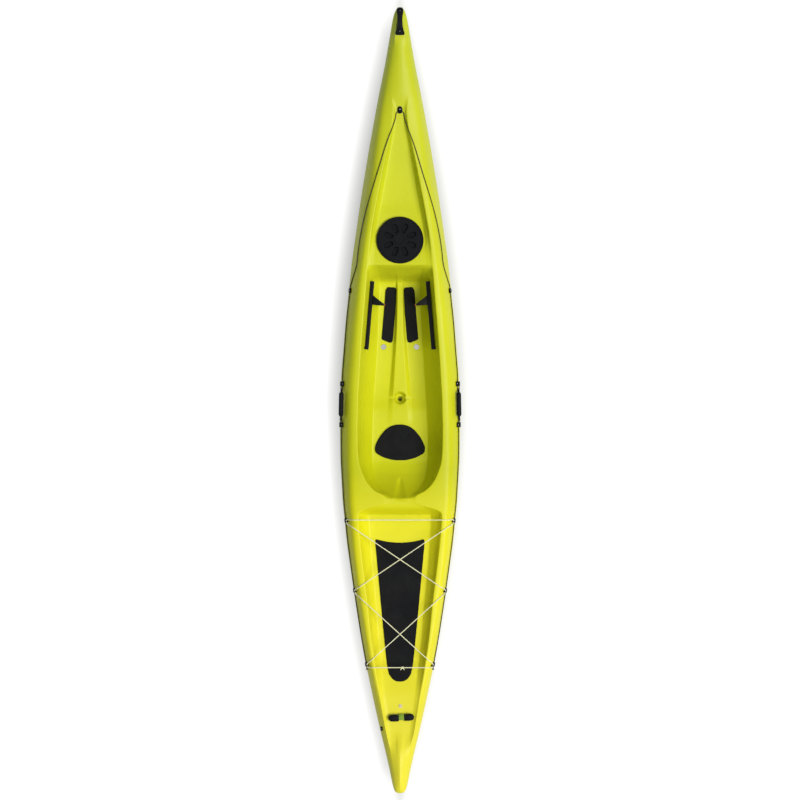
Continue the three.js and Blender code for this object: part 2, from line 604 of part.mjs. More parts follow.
// Foam pads: each is a deck layer inside an outline of [place, share of the half beam]
const padThickness = 6;
const seatPadThickness = 10;
const heelPadShares = [[0.2828, 0.06], [0.289, 0.08], [0.2904, 0.208], [0.2828, 0.243], [0.2433, 0.26],
  [0.1567, 0.308], [0.1521, 0.25], [0.1473, 0.167], [0.149, 0.133], [0.1554, 0.118], [0.2242, 0.08]];
const seatPadShares = [[-0.0615, 0.06], [-0.066, 0.16], [-0.0757, 0.25], [-0.0973, 0.36], [-0.1197, 0.423],
  [-0.134, 0.41], [-0.1465, 0.267], [-0.1529, 0.1]];
const rearPadShares = [[-0.3625, 0.06], [-0.3605, 0.2], [-0.3565, 0.33], [-0.354, 0.385],
  [-0.3545, 0.405], [-0.36, 0.413], [-0.4841, 0.338], [-0.5605, 0.292], [-0.637, 0.242],
  [-0.675, 0.215], [-0.697, 0.185], [-0.711, 0.12], [-0.716, 0.05]];

function padPrism(outline) {
  const points = outline.map(([place, share]) => [share * halfBeam, place * halfLength]);
  return plate(points, 0, sheerHeight + sheerHeight);
}

function padFrom(outline, thickness) {
  const layer = deckLayer(thickness);
  return layer.intersect(padPrism(outline));
}

function makePads() {
  sideNames.forEach(([name, side]) => {
    const outline = heelPadShares.map(([place, share]) => [place, side * share]);
    if (side > 0) outline.reverse();
    addPiece(`heel_pad_${name}`, padFrom(outline, padThickness), blackFoam);
  });
  const whole = (half) => half.concat(half.slice().reverse().map(([place, share]) => [place, -share]));
  addPiece('seat_pad', padFrom(whole(seatPadShares).reverse(), seatPadThickness), blackFoam);
  addPiece('tankwell_pad', padFrom(whole(rearPadShares).reverse(), padThickness), blackFoam);
}

// Foot rails on the footwell's walls, a pedal on each and its sprung release
const railLength = 393;
const railDepth = 20;
const railHeight = 21;
const railWallGap = 4;
const railEndLength = 16;
const railFrontShare = 0.3045;
const railLevel = 216;
const railScrewInset = 8;
const railEndReach = 5;
const trackDepth = 10;
const trackHeight = 14;
const slotLip = 3;
const slotHeight = 8;
const pedalPlaceShare = 0.2564;
const pedalWidth = 52;
const pedalReach = 60;
const pedalTipWidth = 10;
const pedalAbove = 20;
const pedalBelow = 86;
const pedalHeel = 30;
const pedalCorner = 14;
const carriageWall = 5;
const carriageClearance = 0.6;
const lockThickness = 4;
const lockHeight = 24;
const lockLength = 18;
const lockTravel = 5;
const lockCover = 2;

function wallAcross(place, height) {
  let x = lookUp(floorShares, place) * halfBeam;
  while (deckHeight(place, x) < height) x += edgeMargin;
  return x;
}

// The left rail's frame: X runs inboard, Y along the rail and Z up
function railFrame() {
  const rearPlace = railFrontShare - railLength / halfLength;
  const inset = railWallGap + railDepth / 2;
  const across = (place) => inset - wallAcross(place, railLevel);
  const end = (place) => new THREE.Vector3(across(place), place * halfLength, railLevel);
  const front = end(railFrontShare);
  const rear = end(rearPlace);
  const ahead = front.clone().sub(rear).normalize();
  const up = new THREE.Vector3(0, 0, 1);
  const middle = front.clone().add(rear).multiplyScalar(0.5);
  return new THREE.Matrix4().makeBasis(ahead.clone().cross(up), ahead, up).setPosition(middle);
}

function makeRail(name, side) {
  const frame = onSide(railFrame(), side);
  const half = railLength / 2;
  const high = railHeight / 2;
  const reach = railDepth / 2 + railWallGap + railEndReach;
  let rail = block([-railDepth / 2, -half, -high], [railDepth / 2, half, high]);
  [1, -1].forEach((end) => {
    const foot = block([-reach, end * half, -high], [0, end * (half - railEndLength), high]);
    rail = rail.add(foot);
  });
  const run = half - railEndLength;
  const mouth = railDepth / 2 - slotLip;
  rail = rail.subtract(block([mouth - trackDepth, -run, -trackHeight / 2], [mouth, run, trackHeight / 2]));
  rail = rail.subtract(block([0, -run, -slotHeight / 2], [railDepth, run, slotHeight / 2]));
  rail = seated(rail.transform(frame.elements));
  const depth = reach + wallThickness;
  [['front', 1], ['rear', -1]].forEach(([end, sign]) => {
    const faceInboard = new THREE.Matrix4().makeRotationY(Math.PI / 2);
    const screwFrame = moved(frame, 0, sign * (half - railScrewInset), 0).multiply(faceInboard);
    rail = rail.subtract(screwHole(screwFrame, railDepth / 2, depth));
    addScrew(`foot_rail_${name}_${end}_screw`, screwFrame, railDepth / 2, depth);
  });
  addPiece(`foot_rail_${name}`, rail, blackPlastic);
}

// The carriage: a plate over the rail's face and a slider in its track
function makeCarriage(clear, face, half) {
  const high = railHeight / 2 + carriageWall;
  const mouth = railDepth / 2 - slotLip;
  const back = mouth - trackDepth + carriageClearance;
  const headHigh = trackHeight / 2 - carriageClearance;
  const neckHigh = slotHeight / 2 - carriageClearance;
  return block([clear, -half, -high], [face, half, high])
    .add(block([back, -half, -neckHigh], [face, half, neckHigh]))
    .add(block([back, -half, -headHigh], [mouth - carriageClearance, half, headHigh]));
}

function makePedal(name, side) {
  const railMiddle = railFrontShare * halfLength - railLength / 2;
  const frame = moved(onSide(railFrame(), side), 0, pedalPlaceShare * halfLength - railMiddle, 0);
  const clear = railDepth / 2 + carriageClearance;
  const face = clear + carriageWall;
  const half = pedalWidth / 2;
  const tip = face + pedalReach;
  const wedge = plate([[clear, -half], [tip, -half], [tip, -half + pedalTipWidth], [clear, half]],
    -pedalBelow, pedalAbove);
  const outline = crossPlate([[clear, pedalAbove], [clear, -pedalHeel], [clear + pedalHeel, -pedalBelow],
    [tip - pedalCorner, -pedalBelow], [tip, pedalCorner - pedalBelow], [tip, pedalAbove]], half);
  let pedal = makeCarriage(clear, face, half).add(wedge.intersect(outline));
  const lockY = -half + pedalTipWidth / 2;
  const thin = lockThickness / 2;
  const pocketBack = tip - lockLength / 2 - lockTravel - shellGap;
  const pocketSide = thin + shellGap;
  pedal = pedal.subtract(block([pocketBack, lockY - pocketSide, pedalAbove - lockHeight - shellGap],
    [tip + cutOverrun, lockY + pocketSide, pedalAbove - lockCover]));
  const lock = block([tip - lockLength / 2, lockY - thin, pedalAbove - lockHeight],
    [tip + lockLength / 2, lockY + thin, pedalAbove - lockCover - shellGap]);
  addPiece(`pedal_${name}`, pedal.transform(frame.elements), blackPlastic);
  addPiece(`pedal_release_${name}`, lock.transform(frame.elements), redPlastic);
}

// Line eyelets on the gunwales, the aft ones with a lug for the bungee
const eyeletPlaceShares = [['front', 0.28], ['well_front', -0.306], ['well_middle', -0.4841],
  ['well_rear', -0.6726]];
const eyeletAcrossShare = 0.965;
const eyeletWidth = 26;
const eyeletLength = 32;
const eyeletHeight = 10;
const eyeletFoot = 10;
const eyeletSlope = 3;
const lineRadius = 2.5;
const lineLift = 3.3;
const lineClearance = 0.8;
const lineOffset = 5.5;
const eyeletScrewOffset = 3.4;
const lugOffset = 27;
const lugAft = 5;
const lugRadius = 8.5;
const lugHole = 4.8;
const lugThickness = 6;
const lugLevel = 9.5;

function eyeletFrame(place) {
  return leftFrame(place, eyeletAcrossShare * beamAt(place));
}

// A channel for the line along Y, open to the deck
function lineChannel(x, reach) {
  const radius = lineRadius + lineClearance;
  const round = rod(radius, [x, -reach, lineLift], [x, reach, lineLift], smallSides);
  return round.add(block([x - radius, -reach, -cutOverrun], [x + radius, reach, lineLift]));
}

// A plate with round ends whose top edge is cut back
function dome(width, length, height, slope) {
  const wall = plate(roundEnded(width, length), -eyeletFoot, height - slope);
  const cap = plate(roundEnded(width - slope - slope, length - slope - slope), height - slope, height);
  return wall.add(cap);
}

function makeEyelet(name, place, side, hasLug) {
  const frame = onSide(eyeletFrame(place), side);
  const screwFrame = moved(frame, eyeletScrewOffset, 0, 0);
  let eyelet = dome(eyeletWidth, eyeletLength, eyeletHeight, eyeletSlope);
  if (hasLug) {
    const low = -lugAft - lugThickness / 2;
    const high = low + lugThickness;
    const lug = rod(lugRadius, [lugOffset, low, lugLevel], [lugOffset, high, lugLevel], roundSides);
    const neck = block([0, low, -eyeletFoot], [lugOffset, high, eyeletHeight - eyeletSlope]);
    const from = [lugOffset, low - cutOverrun, lugLevel];
    const hole = rod(lugHole, from, [lugOffset, high + cutOverrun, lugLevel], roundSides);
    eyelet = eyelet.add(lug).add(neck).subtract(hole);
  }
  eyelet = eyelet.subtract(lineChannel(-lineOffset, eyeletLength));
  const seat = eyeletHeight - eyeletSlope;
  eyelet = seated(eyelet.transform(frame.elements)).subtract(screwHole(screwFrame, seat));
  addPiece(`eyelet_${name}`, eyelet, blackPlastic);
  addScrew(`eyelet_${name}_screw`, screwFrame, seat);
}

// The bow eyelet, whose channel runs across
const bowEyeletPlaceShare = 0.739;
const bowEyeletWidth = 29;
const bowEyeletLength = 43;
const bowEyeletHeight = 11;
const bowLineAft = 13;
const bowScrewAhead = 4;
function makeBowEyelet() {
  const frame = deckFrame(bowEyeletPlaceShare, 0);
  const across = new THREE.Matrix4().makeRotationZ(Math.PI / 2);
  const channel = lineChannel(-bowLineAft, bowEyeletWidth).transform(across.elements);
  const eyelet = dome(bowEyeletWidth, bowEyeletLength, bowEyeletHeight, eyeletSlope).subtract(channel);
  const screwFrame = moved(frame, 0, bowScrewAhead, 0);
  const seat = bowEyeletHeight - eyeletSlope;
  const placed = seated(eyelet.transform(frame.elements)).subtract(screwHole(screwFrame, seat));
  addPiece('bow_eyelet', placed, blackPlastic);
  addScrew('bow_eyelet_screw', screwFrame, seat);
}

// The moulded bow handle: a waisted arch on two feet, as [along, half its width] and [along, up]
const bowHandlePlaceShare = 0.9635;
const bowHandleHalf = 79;
const bowHandleWidthShares = [[1, 0.1], [0.93, 0.2], [0.82, 0.25], [0.6, 0.23], [0.3, 0.18], [0.05, 0.17],
  [-0.3, 0.19], [-0.6, 0.24], [-0.8, 0.32], [-0.93, 0.33], [-1, 0.27]];
const bowHandleTopShares = [[-1, -0.15], [-1, 0.13], [-0.85, 0.22], [-0.5, 0.4], [0, 0.47], [0.5, 0.4],
  [0.85, 0.24], [1, 0.13], [1, -0.15]];
const bowHandleGapShares = [[-0.48, -0.3], [-0.48, 0.2], [-0.34, 0.31], [0, 0.34], [0.36, 0.31],
  [0.5, 0.2], [0.5, -0.3]];
const bowHandleScrewShares = [['rear', -0.73], ['front', 0.74]];
const bowHandleScrewSeat = 11;
function makeBowHandle() {
  const frame = deckFrame(bowHandlePlaceShare, 0);
  const scaled = (rows) => rows.map(([along, up]) => [along * bowHandleHalf, up * bowHandleHalf]).reverse();
  const half = bowHandleWidthShares.map(([along, wide]) => [wide * bowHandleHalf, along * bowHandleHalf]);
  const outline = half.concat(half.slice().reverse().map(([x, y]) => [-x, y]));
  const plan = plate(outline.reverse(), -bowHandleHalf, bowHandleHalf);
  const arch = sidePlate(scaled(bowHandleTopShares), -bowHandleHalf, bowHandleHalf);
  const gap = sidePlate(scaled(bowHandleGapShares), -bowHandleHalf, bowHandleHalf);
  let handle = seated(plan.intersect(arch).subtract(gap).transform(frame.elements));
  bowHandleScrewShares.forEach(([end, share]) => {
    const screwFrame = moved(frame, 0, share * bowHandleHalf, 0);
    handle = handle.subtract(screwHole(screwFrame, bowHandleScrewSeat));
    addScrew(`bow_handle_${end}_screw`, screwFrame, bowHandleScrewSeat);
  });
  addPiece('bow_handle', handle, blackPlastic);
}

// Side carry handles: a grip on two arms that swing on pins in two anchors
const handlePlaceShare = -0.0097;
const anchorSpan = 234.9;
const anchorPlaceShares = [['front', 1], ['rear', -1]]
  .map(([name, end]) => [name, handlePlaceShare + end * anchorSpan / overallLength]);
const anchorInset = 14;
const anchorOutside = 12;
const anchorInside = 13;
const anchorLength = 28;
const anchorHeight = 17.5;
const anchorBevel = 5;
const anchorScrewOffset = 6.5;
const anchorScrewSeat = 8;
const pinOffset = 6.5;
const pinLevel = 11.4;
const pinRadius = 2.6;
const pinClearance = 0.5;
const pinDepth = 8;
const armGap = 9.45;
const armLength = 24;
const armReach = (anchorSpan - anchorLength) / 2 - armGap;
const gripHalfLength = armReach - armLength;
const armOverlap = 1;
const gripRadius = 13.5;
const gripEndRadius = 7;
const gripBevel = 10;
const gripInboard = 3;
const gripRise = 27;

function anchorFrame(place) {
  return leftFrame(place, beamAt(place) - anchorInset);
}

function pinPoint(place, y) {
  return inFrame(anchorFrame(place), -pinOffset, y, pinLevel);
}

function makeAnchor(name, place, side, inner) {
  const frame = onSide(anchorFrame(place), side);
  const half = anchorLength / 2;
  const profile = [[-anchorOutside, -anchorHeight], [anchorInside, -anchorHeight],
    [anchorInside, anchorBevel], [anchorBevel, anchorHeight], [anchorBevel - anchorOutside, anchorHeight],
    [-anchorOutside, anchorHeight - anchorBevel]];
  let anchor = crossPlate(profile, half).subtract(lineChannel(-lineOffset, anchorLength));
  const pinEnd = [-pinOffset, inner * (half - pinDepth - pinClearance), pinLevel];
  const mouth = [-pinOffset, inner * anchorLength, pinLevel];
  const pinHole = rod(pinRadius + pinClearance, pinEnd, mouth, smallSides);
  const screwFrame = moved(frame, anchorScrewOffset, 0, 0);
  anchor = seated(anchor.subtract(pinHole).transform(frame.elements));
  addPiece(`side_anchor_${name}`, anchor.subtract(screwHole(screwFrame, anchorScrewSeat)), blackPlastic);
  addScrew(`side_anchor_${name}_screw`, screwFrame, anchorScrewSeat);
}

// The left handle's frame: Y along its pins, X inboard and level, Z up
function handleFrame() {
  const [front, rear] = anchorPlaceShares.map(([, place]) => pinPoint(place, 0));
  const ahead = front.clone().sub(rear).normalize();
  const inboard = ahead.clone().cross(new THREE.Vector3(0, 0, 1)).normalize();
  const middle = front.clone().add(rear).multiplyScalar(0.5);
  return new THREE.Matrix4().makeBasis(inboard, ahead, inboard.clone().cross(ahead)).setPosition(middle);
}

function makeSideHandle(name, side) {
  const [front, rear] = anchorPlaceShares.map(([, place]) => pinPoint(place, 0));
  const pinReach = front.distanceTo(rear) / 2 - anchorLength / 2 + pinDepth;
  const straight = gripHalfLength - gripBevel;
  let handle = rod(gripRadius, [gripInboard, -straight, gripRise], [gripInboard, straight, gripRise]);
  [1, -1].forEach((end) => {
    const taper = rod(gripRadius, [gripInboard, end * straight, gripRise],
      [gripInboard, end * gripHalfLength, gripRise], roundSides, gripEndRadius);
    const pin = rod(pinRadius, [0, end * (armReach - armOverlap), 0], [0, end * pinReach, 0], smallSides);
    const arm = rod(gripEndRadius - armOverlap, [gripInboard, end * straight, gripRise],
      [0, end * armReach, 0], smallSides, pinRadius + armOverlap);
    handle = handle.add(taper).add(arm).add(pin);
  });
  addPiece(`side_handle_${name}`, handle.transform(onSide(handleFrame(), side).elements), blackRubber);
}

// The deck line: along both gunwales and over the foredeck, through every eyelet
const foreLineShares = [[0.4102, 0.886], [0.4815, 0.83], [0.5427, 0.72], [0.6051, 0.585], [0.6688, 0.41],
  [0.7287, 0.14]];
const foreLinePlaceShares = [0.345, 0.38, 0.42, 0.47, 0.51, 0.55, 0.6, 0.65, 0.69, 0.715];
const sideLinePlaceShares = [0.2, 0.127, 0.072, 0.006, -0.03, -0.1, -0.153, -0.2293, -0.273, -0.345, -0.4,
  -0.44, -0.53, -0.6];
const sideLineShare = 0.973;
const stopperRadius = 4.8;
const stopperLength = 10;

function onDeck(place, share) {
  const x = share * beamAt(place);
  return deckPoint(place, -x).addScaledVector(deckNormal(place, -x), lineLift);
}

function leftLinePoints() {
  const bow = deckFrame(bowEyeletPlaceShare, 0);
  const bowExit = -bowEyeletWidth / 2 - lineLift;
  const points = [0, bowExit].map((x) => inFrame(bow, x, -bowLineAft, lineLift));
  foreLinePlaceShares.slice().reverse()
    .forEach((place) => points.push(onDeck(place, lookUp(foreLineShares, place))));
  const through = (places, frameOf, length) => places.map(([, place]) => ({
    place,
    points: [1, -1].map((end) => inFrame(frameOf(place), -lineOffset, end * length / 2, lineLift)),
  }));
  const stops = through(eyeletPlaceShares, eyeletFrame, eyeletLength)
    .concat(through(anchorPlaceShares, anchorFrame, anchorLength))
    .concat(sideLinePlaceShares.map((place) => ({ place, points: [onDeck(place, sideLineShare)] })));
  stops.sort((one, other) => other.place - one.place).forEach((stop) => points.push(...stop.points));
  const last = eyeletFrame(eyeletPlaceShares[eyeletPlaceShares.length - 1][1]);
  points.push(inFrame(last, -lineOffset, -eyeletLength / 2 - stopperLength, lineLift));
  return points;
}

function makeDeckLine() {
  const left = leftLinePoints();
  const right = left.slice(1).map((point) => point.clone().setX(-point.x));
  let line = tube(left.slice().reverse().concat(right), lineRadius);
  const last = eyeletFrame(eyeletPlaceShares[eyeletPlaceShares.length - 1][1]);
  const start = -eyeletLength / 2 - stopperLength / 2;
  const level = lineLift + stopperRadius - lineRadius;
  const stopperEnd = [-lineOffset, start - stopperLength, level];
  const stopper = rod(stopperRadius, [-lineOffset, start, level], stopperEnd, smallSides);
  sideNames.forEach(([, side]) => {
    line = line.add(stopper.transform(onSide(last, side).elements));
  });
  addPiece('deck_line', seated(line), blackCord);
}

// The bungee, laced through the aft eyelets' lugs and pulled tight over the tankwell
const bungeeRadius = 2.75;
const bungeeLift = 3.8;
const lugExit = 10;
const tautSamples = 96;
const crossingLift = 6.6;
const knotAcross = 14;
const knotRadius = 6.5;
const knotLength = 17;

function lugPoint(index, side, exit) {
  const frame = onSide(eyeletFrame(eyeletPlaceShares[index][1]), side);
  return inFrame(frame, lugOffset, exit * lugExit - lugAft, lugLevel);
}

// Points of a cord pulled tight over the deck from one point to another
function tautOver(from, to) {
  const span = to.clone().sub(from);
  const samples = [];
  for (let i = 1; i < tautSamples; i += 1) {
    const point = from.clone().addScaledVector(span, i / tautSamples);
    const place = point.y / halfLength;
    const across = Math.min(Math.abs(point.x), beamAt(place) - edgeMargin) * Math.sign(point.x);
    point.z = deckHeight(place, across) + bungeeLift / deckNormal(place, across).z;
    samples.push(point);
  }
  const taut = [from];
  const slope = (a, b) => (b.z - a.z) / Math.hypot(b.x - a.x, b.y - a.y);
  let at = from;
  let left = samples.concat([to]);
  while (left.length > 0) {
    const next = left.reduce((best, point) => (slope(at, point) >= slope(at, best) ? point : best));
    taut.push(next);
    left = left.slice(left.indexOf(next) + 1);
    at = next;
  }
  return taut;
}

// The point of a taut run where it meets the centre line, lifted over the cord below it
function withCrossing(run, lift) {
  const after = run.findIndex((point, i) => i > 0 && run[i - 1].x * point.x <= 0);
  const share = run[after - 1].x / (run[after - 1].x - run[after].x);
  const crossing = run[after - 1].clone().lerp(run[after], share);
  crossing.z += lift;
  return run.slice(0, after).concat([crossing], run.slice(after));
}

function bungeePoints() {
  const [front, middle, rear] = [1, 2, 3];
  const exitOf = (index, side, exit) => lugPoint(index, side, exit);
  const knot = exitOf(rear, -1, -1).clone().lerp(exitOf(rear, 1, -1), 0.5).setX(knotAcross);
  const acrossRear = tautOver(exitOf(rear, -1, -1), exitOf(rear, 1, -1));
  knot.z = acrossRear[Math.floor(acrossRear.length / 2)].z;
  const half = knotLength / 2 + shellGap;
  const toLeft = acrossRear.filter((point) => point.x < knotAcross - half).reverse();
  const fromRight = acrossRear.filter((point) => point.x > knotAcross + half).reverse();
  const points = [knot.clone().setX(knotAcross - half), ...toLeft];
  points.push(...withCrossing(tautOver(exitOf(rear, -1, 1), exitOf(middle, 1, -1)), 0));
  points.push(...withCrossing(tautOver(exitOf(middle, 1, 1), exitOf(front, -1, -1)), 0));
  points.push(...tautOver(exitOf(front, -1, 1), exitOf(front, 1, 1)));
  points.push(...withCrossing(tautOver(exitOf(front, 1, -1), exitOf(middle, -1, 1)), crossingLift));
  points.push(...withCrossing(tautOver(exitOf(middle, -1, -1), exitOf(rear, 1, 1)), crossingLift));
  points.push(...fromRight, knot.clone().setX(knotAcross + half));
  return { points, knot };
}

function makeBungee() {
  const { points, knot } = bungeePoints();
  addPiece('bungee', seated(tube(points, bungeeRadius)), paleCord);
  const half = knotLength / 2;
  const bevel = knotRadius / 2;
  const lump = turned([[0, -half], [bevel, -half], [knotRadius, bevel - half], [knotRadius, half - bevel],
    [bevel, half], [0, half]], smallSides);
  const along = new THREE.Matrix4().makeRotationY(Math.PI / 2).setPosition(knot);
  addPiece('bungee_knot', lump.transform(along.elements), paleCord);
}

// The stern toggle: a grip in a webbing loop that swings on a bar over the deck
const togglePlaceShare = -0.8073;
const toggleAcross = 8;
const toggleTiltAngle = 3;
const toggleLength = 147;
const toggleWidth = 40;
const toggleHeight = 22;
const toggleBevel = 5;
const toggleNotchWidth = 46;
const toggleNotchDepth = 9;
const toggleLift = 3;
const toggleArcSteps = 6;
const toggleRestShares = [-1, -0.85, -0.7, -0.55, 0.55, 0.7, 0.85, 1];
const coreOverlap = 1;
const loopWidth = 29;
const loopThickness = 2.5;
const loopGap = 0.5;
const barRadius = 3.5;
const barSpan = 42;
const postWidth = 5;
const barAhead = 16;
const toggleFrame = deckFrame(togglePlaceShare, toggleAcross)
  .multiply(new THREE.Matrix4().makeRotationZ(THREE.MathUtils.degToRad(toggleTiltAngle)));

// How far the deck rises over the toggle's frame under the toggle's ends
function toggleBase() {
  const middle = deckHeight(togglePlaceShare, toggleAcross);
  const reach = toggleLength / 2;
  const rises = toggleRestShares
    .map((share) => deckHeight(togglePlaceShare, toggleAcross + share * reach) - middle);
  return Math.max(...rises, 0) + toggleLift;
}

function makeToggle() {
  const base = toggleBase();
  const top = base + toggleHeight;
  const turn = new THREE.Matrix4().makeRotationZ(Math.PI / 2);
  const layer = (inset, low, high) => {
    const outline = roundEnded(toggleWidth - inset, toggleLength - inset, toggleArcSteps);
    return plate(outline, low, high).transform(turn.elements);
  };
  const body = layer(0, base + toggleBevel, top - toggleBevel)
    .add(layer(toggleBevel + toggleBevel, base, top));
  const low = base - cutOverrun;
  const high = top + cutOverrun;
  const notch = toggleNotchWidth / 2;
  const core = toggleWidth / 2 - toggleNotchDepth;
  const wide = loopWidth / 2 + loopGap;
  const slot = block([-wide, -toggleWidth, low], [wide, toggleWidth, high]);
  const inset = loopThickness + loopGap;
  const spindle = block([-wide - coreOverlap, -core, base + inset], [wide + coreOverlap, core, top - inset]);
  const toggle = body.subtract(block([-notch, core, low], [notch, toggleWidth, high])).subtract(slot)
    .add(spindle);
  addPiece('stern_toggle', toggle.transform(toggleFrame.elements), blackRubber);
  makeLoop(core, base + inset, top - inset);
}

// The webbing: a band round the toggle's core and the bar
function makeLoop(core, low, high) {
  const barLevel = low + barRadius;
  const near = barRadius + loopGap;
  const filled = (thickness, half) => {
    const gap = loopGap + thickness;
    const reach = core + gap;
    const spread = barRadius + gap;
    const outline = [[-reach, low - gap], [reach, low - gap], [barAhead, barLevel - spread],
      [barAhead, barLevel + spread], [reach, high + gap], [-reach, high + gap]];
    const turn = rod(near + thickness, [-half, barAhead, barLevel], [half, barAhead, barLevel]);
    return sidePlate(outline, -half, half).add(turn);
  };
  const band = filled(loopThickness, loopWidth / 2).subtract(filled(0, loopWidth));
  addPiece('stern_webbing', band.transform(toggleFrame.elements), greenWebbing);
  makeBar(barLevel);
}

function makeBar(barLevel) {
  const half = barSpan / 2;
  const top = barLevel + barRadius;
  let bar = rod(barRadius, [-half, barAhead, barLevel], [half, barAhead, barLevel]);
  [1, -1].forEach((end) => {
    const inner = end * (half - postWidth);
    const from = [end * half, barAhead - barRadius, -toggleHeight];
    bar = bar.add(block(from, [inner, barAhead + barRadius, top]));
  });
  addPiece('stern_bar', seated(bar.transform(toggleFrame.elements)), blackPlastic);
}

// The drain plug in its socket
const plugPlaceShare = -0.778;
const plugAcross = 3;
const plugRadius = 7.5;
const plugHeight = 4;
const plugDepth = 8;
const plugSlotWidth = 2.4;
const plugSlotDepth = 2;
const socketRadius = 11;
const socketNeckRadius = 9.6;
const socketHeight = 3;
const socketDepth = 12;
function makePlug() {
  const frame = deckFrame(plugPlaceShare, plugAcross);
  const bore = plugRadius + shellGap;
  const ring = rod(socketRadius, [0, 0, -wallThickness], [0, 0, socketHeight]);
  const neck = rod(socketNeckRadius, [0, 0, -socketDepth], [0, 0, socketHeight]);
  const hole = rod(bore, [0, 0, -socketDepth - cutOverrun], [0, 0, socketHeight + cutOverrun]);
  const socket = seated(ring.transform(frame.elements)).add(neck.transform(frame.elements));
  addPiece('drain_socket', socket.subtract(hole.transform(frame.elements)), palePlastic);
  const slot = block([-socketRadius, -plugSlotWidth / 2, plugHeight - plugSlotDepth],
    [socketRadius, plugSlotWidth / 2, plugHeight + cutOverrun]);
  const plug = rod(plugRadius, [0, 0, -plugDepth], [0, 0, plugHeight]).subtract(slot);
  addPiece('drain_plug', plug.transform(frame.elements), palePlastic);
  const deckHole = rod(socketNeckRadius + shellGap, [0, 0, -socketDepth - cutOverrun], [0, 0, cutOverrun]);
  deck = deck.subtract(deckHole.transform(frame.elements));
}

// The small fitting on the port side of the stern
const sternFittingPlaceShare = -0.8357;
const sternFittingShare = 0.9;
const sternFittingWidth = 20;
const sternFittingLength = 27;
const sternFittingHeight = 8;
function makeSternFitting() {
  const frame = leftFrame(sternFittingPlaceShare, sternFittingShare * beamAt(sternFittingPlaceShare));
  const seat = sternFittingHeight - eyeletSlope;
  const body = dome(sternFittingWidth, sternFittingLength, sternFittingHeight, eyeletSlope);
  const fitting = seated(body.transform(frame.elements)).subtract(screwHole(frame, seat));
  addPiece('stern_fitting', fitting, blackPlastic);
  addScrew('stern_fitting_screw', frame, seat);
}

makeHatchRing();
makeHatchSeal();
makeHatchLid();
makeScuppers();
makeDrain();
makePads();
sideNames.forEach(([name, side]) => {
  makeRail(name, side);
  makePedal(name, side);
  eyeletPlaceShares.forEach(([end, place], i) => makeEyelet(`${end}_${name}`, place, side, i > 0));
  anchorPlaceShares.forEach(([end, place], i) => makeAnchor(`${end}_${name}`, place, side, i > 0 ? 1 : -1));
  makeSideHandle(name, side);
});
makeBowHandle();
makeBowEyelet();
makeDeckLine();
makeBungee();
makeToggle();
makePlug();
makeSternFitting();
screwHoles.forEach((hole) => {
  deck = deck.subtract(hole);
});
addPiece('deck_shell', deck, limePlastic);
addPiece('hull_shell', hull, limePlastic);

export default kayak;
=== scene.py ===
import bpy, bmesh, json, math
import numpy as np
from mathutils import Matrix, Vector


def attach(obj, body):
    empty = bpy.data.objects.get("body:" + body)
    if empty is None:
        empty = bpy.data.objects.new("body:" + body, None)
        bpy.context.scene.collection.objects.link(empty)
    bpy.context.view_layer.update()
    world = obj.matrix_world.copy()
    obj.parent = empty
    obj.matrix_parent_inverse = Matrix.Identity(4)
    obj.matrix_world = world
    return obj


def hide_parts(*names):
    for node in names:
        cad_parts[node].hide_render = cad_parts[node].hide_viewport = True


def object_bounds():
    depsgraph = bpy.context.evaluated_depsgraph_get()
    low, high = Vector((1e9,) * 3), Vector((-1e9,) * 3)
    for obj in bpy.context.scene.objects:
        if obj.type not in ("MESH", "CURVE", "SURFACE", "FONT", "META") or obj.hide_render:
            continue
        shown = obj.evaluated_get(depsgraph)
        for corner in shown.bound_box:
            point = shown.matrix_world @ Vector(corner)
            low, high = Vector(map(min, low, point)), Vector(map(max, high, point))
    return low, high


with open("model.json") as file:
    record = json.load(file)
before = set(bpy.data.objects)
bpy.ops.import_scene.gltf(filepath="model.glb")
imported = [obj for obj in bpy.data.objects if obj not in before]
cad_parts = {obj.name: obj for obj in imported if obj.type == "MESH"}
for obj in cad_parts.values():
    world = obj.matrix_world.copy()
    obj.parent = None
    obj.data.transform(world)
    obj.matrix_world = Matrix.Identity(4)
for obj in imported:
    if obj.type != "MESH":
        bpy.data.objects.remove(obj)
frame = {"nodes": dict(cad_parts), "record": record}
start_box = [list(map(float, corner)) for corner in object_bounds()]
nodes = frame["nodes"]

